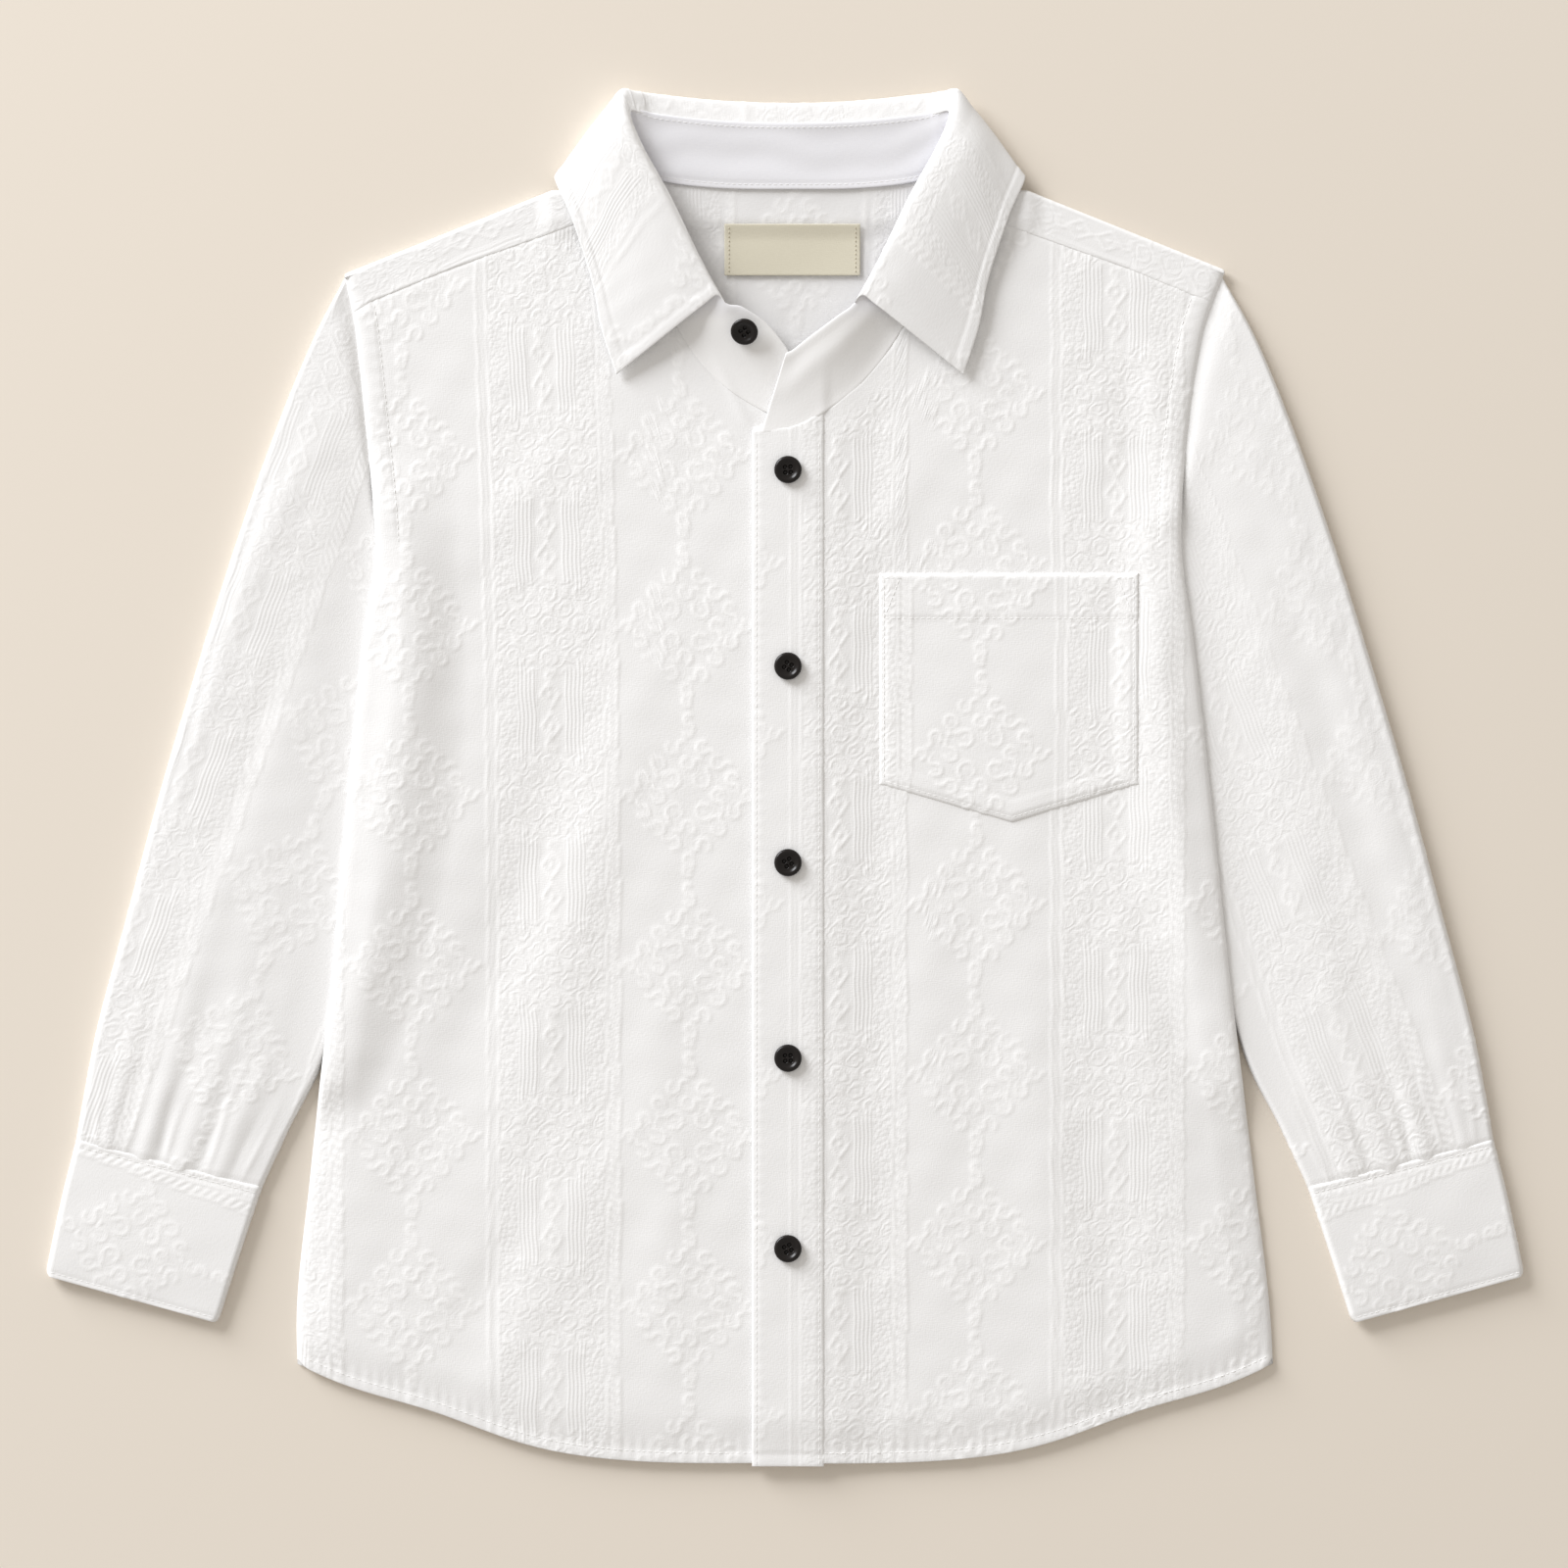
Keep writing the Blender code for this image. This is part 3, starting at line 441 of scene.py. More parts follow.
def make_cloth(name, ground, raised, roughness, depth):
    """Material of woven cotton: the colours of its ground and of its raised yarns, and their depth in mm. The
    raised colour also serves as painted light on the crests of ribs, pebbles and curls, and the ground colour as
    painted shade in their grooves.
    """
    material, tree, shader = new_material(name)
    yarns = tree.nodes.new("ShaderNodeGroup")
    yarns.node_tree = yarn_group
    for layer in ("cloth",) + CHART_LAYERS:
        read = tree.nodes.new("ShaderNodeAttribute")
        read.attribute_name = layer
        tree.links.new(read.outputs["Vector" if layer == "cloth" else "Fac"], yarns.inputs[layer])
    blend = tree.nodes.new("ShaderNodeMix")
    blend.data_type = "RGBA"
    give(blend, {"A": (*ground, 1), "B": (*raised, 1)})
    tree.links.new(yarns.outputs["Tone and groove shade"], blend.inputs["Factor"])
    tree.links.new(blend.outputs["Result"], shader.inputs["Base Color"])
    rough = add_math(tree, "MULTIPLY_ADD", yarns.outputs["Tone and groove shade"], -0.22, roughness)
    tree.links.new(rough, shader.inputs["Roughness"])
    bump = tree.nodes.new("ShaderNodeBump")
    give(bump, {"Strength": 0.9, "Distance": depth * MM})
    tree.links.new(yarns.outputs["Height"], bump.inputs["Height"])
    tree.links.new(bump.outputs["Normal"], shader.inputs["Normal"])
    give(shader, {"Sheen Weight": 0.05, "Sheen Roughness": 0.5, "Specular IOR Level": 0.18})
    return material


jacquard = make_cloth("Jacquard cotton", (0.865, 0.862, 0.86), (0.925, 0.922, 0.92), 0.9, 0.17)

RELIEF = 0.23
# The cloth's turned edge: steps outward and downward, as shares of its thickness
RIM = ((0.3, 0.1), (0.45, 0.5), (0.3, 0.9), (-2, 1))


def surface_normals(points):
    """Unit normals of a grid of points, towards the viewer's side when columns run to +X and rows to +Y."""
    along = np.gradient(points, axis=1)
    up = np.gradient(points, axis=0)
    return unit(np.cross(along, up))


def widen(grid):
    """A grid with room for the rim all round it, filled from its edges."""
    room = ((len(RIM), len(RIM)),) * 2 + ((0, 0),) * (grid.ndim - 2)
    return np.pad(grid, room, mode="edge")


def add_rim(points, inward, thickness):
    """A grid with its edges turned over the cloth's thickness and a little way back under it."""
    count = len(RIM)
    wide = widen(points)
    depth = np.zeros(wide.shape[:2])
    moved = wide.copy()
    for axis in (0, 1):
        sides = np.moveaxis(wide, axis, 0)
        target = np.moveaxis(moved, axis, 0)
        level = np.moveaxis(depth, axis, 0)
        for edge, inner, step in ((count, count + 1, -1), (-count - 1, -count - 2, 1)):
            away = unit(sides[edge] - sides[inner])
            away = away[np.clip(np.arange(len(away)), count, len(away) - 1 - count)]
            for k, (out, down) in enumerate(RIM, start=1):
                target[edge + step * k] += away * (out * thickness)
                level[edge + step * k] = np.maximum(level[edge + step * k], down)
    return moved + widen(inward) * (depth * thickness)[..., None]


def make_piece(name, vertices, faces, material):
    """A smooth mesh in metres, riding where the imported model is."""
    mesh = bpy.data.meshes.new(name)
    mesh.from_pydata(vertices, [], faces)
    mesh.materials.append(material)
    mesh.shade_smooth()
    piece = put(name, mesh)
    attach(piece, "root")
    return piece


def lay(name, grids, material=jacquard, wrap=False):
    """A piece made of grids of points, each with its cloth places and its weave chart."""
    vertices, quads, start = [], [], 0
    layers = {key: [] for key in CHART_LAYERS + ("cloth",)}
    for points, cloth, chart in grids:
        rows, columns = points.shape[:2]
        index = start + np.arange(rows * columns).reshape(rows, columns)
        if wrap:
            index = np.concatenate([index, index[:, :1]], axis=1)
        corners = (index[:-1, :-1], index[:-1, 1:], index[1:, 1:], index[1:, :-1])
        quads.append(np.stack(corners, axis=-1).reshape(-1, 4))
        vertices.append(points.reshape(-1, 3) * MM)
        for key, values in layers.items():
            values.append(cloth.reshape(-1, 3) if key == "cloth" else chart[key].reshape(-1))
        start += rows * columns
    piece = make_piece(name, np.concatenate(vertices).tolist(), np.concatenate(quads).tolist(), material)
    for key, values in layers.items():
        kind, field = ("FLOAT_VECTOR", "vector") if key == "cloth" else ("FLOAT", "value")
        attribute = piece.data.attributes.new(key, kind, "POINT")
        attribute.data.foreach_set(field, np.concatenate(values).astype(np.float32).ravel())
    return piece


def skin(points, u, v, facing, thickness=0.8, strength=1, relief=RELIEF, rim=True, inward=None):
    """Grid, cloth places and chart of one skin of cloth. Facing is 1 for normals as they are, or -1.
    Inward is the way into the cloth, where that isn't simply against the normals."""
    chart, cloth = weave_chart(u, v, strength)
    normals = surface_normals(points) * facing
    lift = chart["figure"] + 0.35 * chart["ribs"] + 0.3 * chart["pebbles"]
    points = points + normals * (relief * lift)[..., None]
    if rim:
        points = add_rim(points, -normals if inward is None else inward, thickness)
        cloth = widen(cloth)
        chart = {key: widen(value) for key, value in chart.items()}
    if facing < 0:
        points, cloth = points[:, ::-1], cloth[:, ::-1]
        chart = {key: value[:, ::-1] for key, value in chart.items()}
    return points, cloth, chart


def across_body(share, y):
    """x across the whole body, for shares from the wearer's right side seam to the left one."""
    part = 2 * share - 1
    return part * half_width(y, np.where(part < 0, -1, 1))


BACK_COLUMNS = 150
BACK_ROWS = 160
BACK_BAND_U = 83.6
x, y = panel(across_body, hem_y, lambda x: np.full(x.shape, YOKE_SEAM_Y - SEAM), BACK_COLUMNS, BACK_ROWS)
back = lay("back_cloth", [skin(joined(x, y, back_bottom(x, y)), x + BACK_BAND_U, y, -1)])
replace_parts(back, "back")

# Fronts.
# Two panels of the same cloth, sewn to the yoke at the top and to the back down the sides. The left one
# laps over the right one at the buttons. They lie in soft folds, with a narrow hem turned up twice.
AIR = 1.6
AIR_MOST = 3.3
SIDE_ROLL = 16
HEM_ROLL = 20
FRONT_COLUMNS = 214
FRONT_ROWS = 440
FRONT_X = 1.2
PLACKET_WIDTH = 28.8
OVERLAP_FADE = 24
HEM_TURN = 4.6
HEM_STITCH = 3.9
HEM_CORNER = 5
ARM_STITCH = 9.2
TUCK = 1.3
TUCK_DROP = 0.3
# Where the weave's bands start on each front
RIGHT_BAND = (121.3, 7)
LEFT_BAND = (4.6, 51.3)
# Upper edge of a front: distance from the neck's centre, y
FRONT_TOP = (
    (-14, 142), (0, 143.4), (5, 145.2), (17, 152), (29.5, 162), (42.4, 177), (55, 199), (61.5, 222),
    (67, 234), (94.5, 223.5), (137, 208.5), (171, 194.5), (178, 190),
)
# Soft folds: x, y, direction in degrees, half length, half width, height
FRONT_FOLDS = (
    (-142, -44, 73, 95, 14, 0.5), (-113, -62, 71, 108, 11, -0.7), (-150, 40, 84, 60, 11, 0.7),
    (-84, -52, 75, 90, 15, 0.8), (-22, 158, 116, 18, 2.4, 0.35), (-52, -110, 88, 60, 12, 0.5),
    (-92, -190, 62, 45, 14, 0.7), (-124, -215, 58, 36, 12, -0.6), (-48, -200, 86, 50, 12, 0.6),
    (-112, 110, 40, 45, 14, 0.5), (152, 160, 95, 40, 8, 0.6), (139, 150, 98, 34, 8, -0.4),
    (60, -90, 92, 80, 14, 0.5), (104, -130, 95, 90, 15, 0.7), (130, -190, 104, 60, 13, -0.6),
    (148, -90, 98, 100, 13, 0.6), (46, 110, 60, 40, 12, 0.4),
)


def front_top_y(out):
    """Upper edge of the fronts, at a distance from the neck's centre."""
    return np.interp(out, *np.transpose(FRONT_TOP))


def folds(x, y, table):
    """Sum of the soft folds of a table."""
    total = np.zeros(np.broadcast(x, y).shape)
    for fold_x, fold_y, degrees, length, width, height in table:
        turn = math.radians(degrees)
        along = (x - fold_x) * math.cos(turn) + (y - fold_y) * math.sin(turn)
        across = (y - fold_y) * math.cos(turn) - (x - fold_x) * math.sin(turn)
        total = total + height * np.exp(-((along / length) ** 2) - (across / width) ** 2)
    return total


def inner_space(x, y):
    """Air between the back and the fronts. It closes at the side seams and at the hem."""
    edge = half_width(y, np.sign(x)) - np.abs(x)
    below_arm = smooth((UNDERARM_Y + HEM_ROLL - y) / HEM_ROLL)
    side = 1 - (1 - smooth(edge / SIDE_ROLL)) * below_arm
    hem = smooth((y - hem_y(x)) / HEM_ROLL)
    fade = smooth((YOKE_SEAM_Y + HEM_ROLL - y) / HEM_ROLL)
    air = np.clip(AIR + folds(x, y, FRONT_FOLDS) * fade, SEAM, AIR_MOST)
    return SEAM + (air - SEAM) * side * hem


def front_middle(x, y, side):
    """Middle of a front's cloth. The left front lies on the right one at the buttons."""
    level = back_bottom(x, y) + CLOTH + inner_space(x, y) + CLOTH / 2
    if side < 0:
        return level
    return level + LAYER * (1 - smooth((x - FRONT_X - PLACKET_WIDTH / 2) / OVERLAP_FADE))


def rumple(x, y):
    """The small unevenness that a washed and pressed cotton keeps."""
    first = np.sin(0.21 * x + 0.05 * y) * np.sin(0.043 * x - 0.13 * y + 1)
    second = np.sin(0.11 * x - 0.31 * y + 2) * np.sin(0.17 * x + 0.09 * y)
    return 0.07 * first + 0.06 * second


def hem_shape(distance, along):
    """Turned hem: a thicker edge strip, a groove along its stitches, and puckers above them."""
    strip = 0.28 * bar(distance, -1, HEM_TURN, 1.2)
    groove = -0.18 * ridge(distance - HEM_TURN + 0.6, 0.9)
    pucker = 0.09 * np.sin(along * 1.35 + 0.9 * np.sin(along * 0.23)) * ridge(distance - 5.5, 4)
    return strip + groove + pucker


def front_low(x, side):
    """Lower edge of a front, rounded where it meets the side."""
    out = np.clip((side * x - float(half_width(-238, side)) + HEM_CORNER) / HEM_CORNER, 0, 1)
    return hem_y(x) + 0.7 * HEM_CORNER * (1 - np.sqrt(1 - out * out))


def roll_off(distance, radius, depth):
    """How far a rounded edge falls away, at a distance in from it."""
    t = 1 - np.clip(distance / radius, 0, 1)
    return depth * (1 - np.sqrt(1 - t * t))


def front_surface(x, y, side):
    """Top of a front's cloth, with its hem, its rolled side, its armhole and its small unevenness."""
    top = front_middle(x, y, side) + CLOTH / 2
    top = top + rumple(x, y) * smooth((y - hem_y(x)) / 12)
    top = top + hem_shape(y - hem_y(x), x)
    in_from_side = half_width(y, side) - side * x
    at_arm = smooth((y - UNDERARM_Y + 4) / 16)
    top = top - roll_off(in_from_side, 5.5, 1.3)
    strip = 0.22 * bar(in_from_side, -1, ARM_STITCH, 3) - 0.16 * ridge(in_from_side - ARM_STITCH, 0.9)
    pucker = 0.05 * np.sin(1.1 * y + side) * ridge(in_from_side - ARM_STITCH + 2, 3)
    top = top + at_arm * (strip + pucker)
    tucked = y - (front_top_y(side * (x - NECK_X)) - SEAM)
    return top - TUCK_DROP * smooth((tucked + 0.4) / 0.9)


def front_cloth_places(x, y, side):
    """Chart places of a front. The cloth's grain wanders a little as it lies."""
    if side < 0:
        wander = np.interp(y, (-50, 46, 134, 200), (0, -1, -3.2, -5.5))
        return x + RIGHT_BAND[0] - wander, y + RIGHT_BAND[1]
    return x + LEFT_BAND[0], y + LEFT_BAND[1]


fronts = {}
for side, name in ((-1, "front_right"), (1, "front_left")):
    inner_x = FRONT_X - side * (PLACKET_WIDTH / 2 - 0.7)
    x, y = panel(
        lambda share, y: part_way(inner_x, side * half_width(y, side), share),
        lambda x: front_low(x, side),
        lambda x: front_top_y(side * (x - NECK_X)) - SEAM + TUCK,
        FRONT_COLUMNS,
        FRONT_ROWS,
    )
    u, v = front_cloth_places(x, y, side)
    below_top = front_top_y(side * (x - NECK_X)) - y - 1
    plain_by_neck = smooth(below_top / 16 + smooth((np.abs(x - NECK_X) - 38) / 8))
    grid = skin(joined(x, y, front_surface(x, y, side)), u, v, side, strength=plain_by_neck)
    fronts[side] = lay(name + "_cloth", [grid])
    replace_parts(fronts[side], name)

# Stitches.
# White cotton thread, sewn in a lockstitch along the fronts' hems and armholes, the placket, the pocket,
# the cuffs and the stand: each stitch stands a little proud of the cloth and dips at both ends.
STITCH_PITCH = 2.4
STITCH_LENGTH = 1.9
THREAD = 0.3
# Across a stitch: side and height, as shares of the thread. Along it: place, size and dip.
STITCH_PROFILE = ((-0.5, -0.15), (-0.36, 0.35), (0, 0.55), (0.36, 0.35), (0.5, -0.15))
STITCH_SECTIONS = ((-0.5, 0.45, -0.12), (-0.3, 0.9, 0), (0.3, 0.9, 0), (0.5, 0.45, -0.12))
thread = make_cloth("Sewing thread", (0.88, 0.875, 0.865), (0.93, 0.925, 0.915), 0.7, 0.05)


def tree_of(host):
    """A piece's faces, for finding its surface."""
    mesh = host.data
    return BVHTree.FromPolygons([v.co for v in mesh.vertices], [p.vertices for p in mesh.polygons])


def drop(tree, x, y, fallback):
    """Point and normal of the highest surface at x, y, in millimetres."""
    point, normal, _, _ = tree.ray_cast(Vector((x * MM, y * MM, 0.05)), Vector((0, 0, -1)))
    if point is None:
        return fallback
    normal = np.array(normal)
    return np.array(point) / MM, normal * (1 if normal[2] >= 0 else -1)


def running(steps):
    """Distance up to each point of a line, from the steps between its points."""
    return np.concatenate([[0], np.cumsum(steps)])


def spaced(line, pitch):
    """Places at an even pitch along a line of points."""
    line = np.asarray(line, float)
    steps = running(np.linalg.norm(np.diff(line, axis=0), axis=1))
    count = max(int(steps[-1] / pitch), 1)
    places = (np.arange(count) + 0.5) * steps[-1] / count
    points, ahead, behind = [
        joined(*[np.interp(places + shift, steps, line[:, i]) for i in (0, 1)]) for shift in (0, 0.2, -0.2)
    ]
    return points, unit(ahead - behind)


def sew(name, host, lines, length=STITCH_LENGTH, pitch=STITCH_PITCH, width=THREAD, material=thread):
    """Rows of stitches along lines on a piece, as seen from above."""
    tree = tree_of(host)
    vertices, quads = [], []
    for line in lines:
        found = None
        for (x, y), way in zip(*spaced(line, pitch)):
            found = drop(tree, x, y, found)
            if found is None:
                continue
            centre, normal = found
            along = np.append(way, 0)
            along = along - normal * (along @ normal)
            along = along / np.linalg.norm(along)
            across = np.cross(normal, along)
            start = len(vertices)
            for part, size, dip in STITCH_SECTIONS:
                for side, up in STITCH_PROFILE:
                    point = centre + along * part * length + across * side * width * size
                    vertices.append(tuple((point + normal * (up * width * size + dip)) * MM))
            for row in range(len(STITCH_SECTIONS) - 1):
                for column in range(len(STITCH_PROFILE) - 1):
                    a = start + row * len(STITCH_PROFILE) + column
                    b = a + len(STITCH_PROFILE)
                    quads.append((a, b, b + 1, a + 1))
    return make_piece(name, vertices, quads, material)


for side, name in ((-1, "front_right"), (1, "front_left")):
    inner_x = FRONT_X - side * (PLACKET_WIDTH / 2 - 2)
    low_line = [(x, float(hem_y(x)) + HEM_STITCH) for x in np.linspace(inner_x, side * 197, 60)]
    arm_line = [
        (side * (float(half_width(y, side)) - ARM_STITCH), y) for y in np.linspace(UNDERARM_Y + 2, 196, 40)
    ]
    arm_line = [(x, y) for x, y in arm_line if y < front_top_y(side * (x - NECK_X)) - 1]
    seams = sew(name + "_stitches", fronts[side], [low_line, arm_line])

# Placket.
# A band of the same cloth folded double, laid down the left front's edge and stitched along both sides.
PLACKET_PAST_HEM = 1.2
PLACKET_GAP = 0.6
PRESSED = 0.6
EDGE_STITCH = 1.6
PLACKET_COLUMNS = 36
PLACKET_ROWS = 420

x = FRONT_X + PLACKET_WIDTH * np.linspace(-0.5, 0.5, PLACKET_COLUMNS)[None, :] + np.zeros((PLACKET_ROWS, 1))
low_y = hem_y(x) - PLACKET_PAST_HEM
y = part_way(low_y, front_top_y(x - NECK_X) - PLACKET_GAP, np.linspace(0, 1, PLACKET_ROWS)[:, None])
z = front_middle(x, np.maximum(y, BODY_HEM_Y + 0.5), 1) + LAYER + CLOTH / 2 - PRESSED + 0.7 * rumple(x, y)
in_from_edge = PLACKET_WIDTH / 2 - np.abs(x - FRONT_X)
z = z - 0.2 * ridge(in_from_edge - EDGE_STITCH, 0.8)
z = z + 0.04 * np.sin(1.3 * y) * ridge(in_from_edge - 2, 2.5)
z = z - 0.22 * ridge(y - low_y - HEM_TURN, 1)
z = z - roll_off(in_from_edge, 1.8, 0.4)
placket_grid = skin(joined(x, y, z), x - 1.8, y + LEFT_BAND[1], 1, strength=0.7)
placket = lay("placket_band", [placket_grid])
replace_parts(placket, "placket")
edge_lines = [
    [(FRONT_X + side * (PLACKET_WIDTH / 2 - EDGE_STITCH), float(v)) for v in np.linspace(-280, 137, 60)]
    for side in (-1, 1)
]
placket_stitches = sew("placket_stitches", placket, edge_lines)

# Pocket.
# A patch with a pointed bottom on the left front. Its top edge is turned in and stitched across, its
# other edges are turned under, and its two upper corners are stitched in small triangles.
POCKET_LEFT_X = 38.8
POCKET_RIGHT_X = 143.6
POCKET_TOP_Y = 83.4
POCKET_SIDE_Y = -2
POCKET_POINT = (92.4, -17.4)
POCKET_HEM_Y = 64.4
POCKET_CORNER = 6.4
POCKET_COLUMNS = 125
POCKET_ROWS = 120


def pocket_low(x):
    """Lower edge of the pocket."""
    reach = np.where(x < POCKET_POINT[0], POCKET_POINT[0] - POCKET_LEFT_X, POCKET_RIGHT_X - POCKET_POINT[0])
    return POCKET_POINT[1] + (POCKET_SIDE_Y - POCKET_POINT[1]) * np.abs(x - POCKET_POINT[0]) / reach


across = np.linspace(0, 1, POCKET_COLUMNS)[None, :]
up = np.linspace(0, 1, POCKET_ROWS)[:, None]
x = part_way(POCKET_LEFT_X, POCKET_RIGHT_X, across) + 0 * up
y = part_way(pocket_low(x), POCKET_TOP_Y, up)
swell = 0.5 * np.sin(math.pi * across) * np.sin(math.pi * np.minimum(up + 0.1, 1) / 1.2)
z = front_middle(x, y, 1) + LAYER - PRESSED + swell + CLOTH / 2 + 0.8 * rumple(x + 30, y)
edge_gap = np.minimum(np.minimum(x - POCKET_LEFT_X, POCKET_RIGHT_X - x), y - pocket_low(x))
z = z - 0.2 * ridge(edge_gap - EDGE_STITCH, 0.8) + 0.12 * bar(edge_gap, 2.5, 8, 2)
z = z + 0.22 * bar(y, POCKET_HEM_Y, POCKET_TOP_Y + 2, 1.2)
z = z - 0.2 * ridge(y - POCKET_HEM_Y - 1, 0.9)
z = z - roll_off(np.minimum(edge_gap, POCKET_TOP_Y - y), 2, 0.45)
pocket_grid = skin(joined(x, y, z), x + 2.6, y - 10, 1, thickness=0.7, strength=0.9)
pocket = lay("pocket_patch", [pocket_grid])
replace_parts(pocket, "pocket")
left_in = POCKET_LEFT_X + EDGE_STITCH
right_in = POCKET_RIGHT_X - EDGE_STITCH
top_in = POCKET_TOP_Y - EDGE_STITCH
pocket_lines = [
    [(left_in, top_in), (left_in, POCKET_SIDE_Y + 1), (POCKET_POINT[0], POCKET_POINT[1] + EDGE_STITCH),
     (right_in, POCKET_SIDE_Y + 1), (right_in, top_in)],
    [(left_in, top_in), (left_in + POCKET_CORNER, top_in), (left_in, POCKET_HEM_Y + 1)],
    [(right_in, top_in), (right_in - POCKET_CORNER, top_in), (right_in, POCKET_HEM_Y + 1)],
    [(left_in, POCKET_HEM_Y + 1), (right_in, POCKET_HEM_Y + 1)],
]
pocket_stitches = sew("pocket_stitches", pocket, pocket_lines)

# Yoke.
# A doubled piece across the shoulders. Its outer cloth lies face down at the back, turns over each
# shoulder's fold and is sewn to the fronts. Its inner cloth shows inside the neck.
NECK_SIDE = 67
ARMHOLE_TOP_Y = 205.2
FOLD_TURN = (AIR + CLOTH) / 2
YOKE_ROWS = 60
TURN_ROWS = 14
STRIP_ROWS = 46
# Upper edge of the yoke at the neck, and fold of each shoulder: distance from the neck's centre, y
YOKE_NECK = (
    (0, 241.8), (28, 242.2), (50, 244.2), (60, 246.4), (67, 248.4),
)
SHOULDER_FOLD = (
    (66, 250.6), (90, 239.8), (97, 239.8), (182, 205.6),
)


def yoke_upper(x):
    """Upper edge of the yoke's back part: the neck's curve, then where each shoulder starts to turn."""
    out = np.abs(x - NECK_X)
    shoulder = np.interp(out, *np.transpose(SHOULDER_FOLD)) - CLOTH / 2 - FOLD_TURN
    return np.where(out < NECK_SIDE - 0.01, np.interp(out, *np.transpose(YOKE_NECK)), shoulder)


def yoke_skins(share, strip):
    """The outer cloth for shares across the body: its back part, and its strip over the shoulder."""
    side = 1 if share.mean() > 0 else -1

    def x_at(y):
        return share[None, :] * half_width(y, np.where(share < 0, -1, 1)[None, :])

    high = settle(lambda y: yoke_upper(x_at(y)), np.full((1, len(share)), ARMHOLE_TOP_Y))
    y = part_way(YOKE_SEAM_Y, high, np.linspace(0, 1, YOKE_ROWS)[:, None])
    x = x_at(y)
    z = back_bottom(x, y)
    if not strip:
        return x, y, z
    angle = math.pi * np.linspace(0.06, 1, TURN_ROWS)[:, None]
    level = back_bottom(x[-1:], high) + CLOTH / 2
    reach = FOLD_TURN + CLOTH / 2
    turn_y = high + reach * np.sin(angle)
    turn_z = level + FOLD_TURN - reach * np.cos(angle)
    seam = settle(lambda y: front_top_y(side * (x_at(y) - NECK_X)), high)
    strip_y = part_way(high, seam, np.linspace(0, 1, STRIP_ROWS)[1:, None])
    strip_x = x_at(strip_y)
    above_seam = strip_y - seam
    strip_z = front_middle(strip_x, strip_y, -1) + CLOTH / 2 + 0.5 * rumple(strip_x, strip_y)
    strip_z = strip_z + 0.1 * smooth(1 - above_seam / 3) * smooth(above_seam / 0.6)
    strip_z = strip_z - roll_off(half_width(strip_y, side) - side * strip_x, 5.5, 1.3)
    parts = ((x, x[-1:] + 0 * turn_y, strip_x), (y, turn_y, strip_y), (z, turn_z, strip_z))
    return [np.concatenate(part) for part in parts]


neck_left = (NECK_X + NECK_SIDE) / float(half_width(ARMHOLE_TOP_Y, 1))
neck_right = (NECK_X - NECK_SIDE) / float(half_width(ARMHOLE_TOP_Y, -1))
grids = []
for shares, strip in (
    (np.linspace(-1, neck_right, 110), True),
    (np.linspace(neck_right, neck_left, 90), False),
    (np.linspace(neck_left, 1, 110), True),
):
    x, y, z = yoke_skins(shares, strip)
    u, v = x, y
    if strip:
        lie = math.atan2(34, 85) * np.sign(shares.mean())
        u, v = x * math.sin(lie) + y * math.cos(lie), x * math.cos(lie) - y * math.sin(lie)
    grids.append(skin(joined(x, y, z), u, v, -1, strength=0.5, rim=strip))
yoke = lay("yoke_cloth", grids)
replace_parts(yoke, "yoke")

LINING_RIGHT_X = -72
LINING_LEFT_X = 76
LINING_LOW_Y = 160
x = np.linspace(LINING_RIGHT_X, LINING_LEFT_X, 120)[None, :] + np.zeros((80, 1))
y = part_way(LINING_LOW_Y, yoke_upper(x) + 0.6, np.linspace(0, 1, 80)[:, None])
z = back_bottom(x, y) + CLOTH + 0.05 + 0.8 * rumple(x, y)
lining_grid = skin(joined(x, y, z), 1.12 * (x - 31.8), y - 214, 1, thickness=0.5, strength=0.9, rim=False)
# The yoke's inner cloth gets darker copies of the jacquard's colours: painted shade, where the collar shades the
# inside of the neck.
shaded_lining_cloth = make_cloth("Jacquard cotton inside, painted shade", (0.785, 0.78, 0.78), (0.845, 0.84, 0.835), 0.9, 0.17)
lining = lay("yoke_inner_cloth", [lining_grid], shaded_lining_cloth)

# Sleeves.
# Each is one piece of the jacquard, sewn into a tube, set into the armhole and gathered into its cuff.
# It lies flattened, with its inner fold under the body's side.
SLEEVE_FLAT = 1.95
FOLD_ROLL = 1.6
ARMHOLE_HEIGHT = 2.6
ARM_MEAN_X = 164.5
ARMHOLE_REACH = -0.9
SLEEVE_ROWS = 330
SLEEVE_TOP_COLUMNS = 92
SLEEVE_UNDER_COLUMNS = 40
# Folds of the whole sleeve above the cuff: place across, half width across, height
SLEEVE_FOLDS = (
    (0.16, 0.05, 0.5), (0.36, 0.05, 0.8), (0.56, 0.06, 0.7), (0.76, 0.05, 0.5),
)
# Creases of the upper layer: place across, half width across, height, reach up from the cuff
SLEEVE_CREASES = (
    (0.08, 0.02, 0.28, 24), (0.2, 0.024, -0.22, 34), (0.27, 0.018, 0.3, 46), (0.43, 0.022, -0.34, 36),
    (0.48, 0.018, 0.34, 26), (0.64, 0.022, -0.26, 30), (0.69, 0.018, 0.32, 42), (0.84, 0.022, -0.22, 24),
    (0.9, 0.018, 0.28, 30),
)
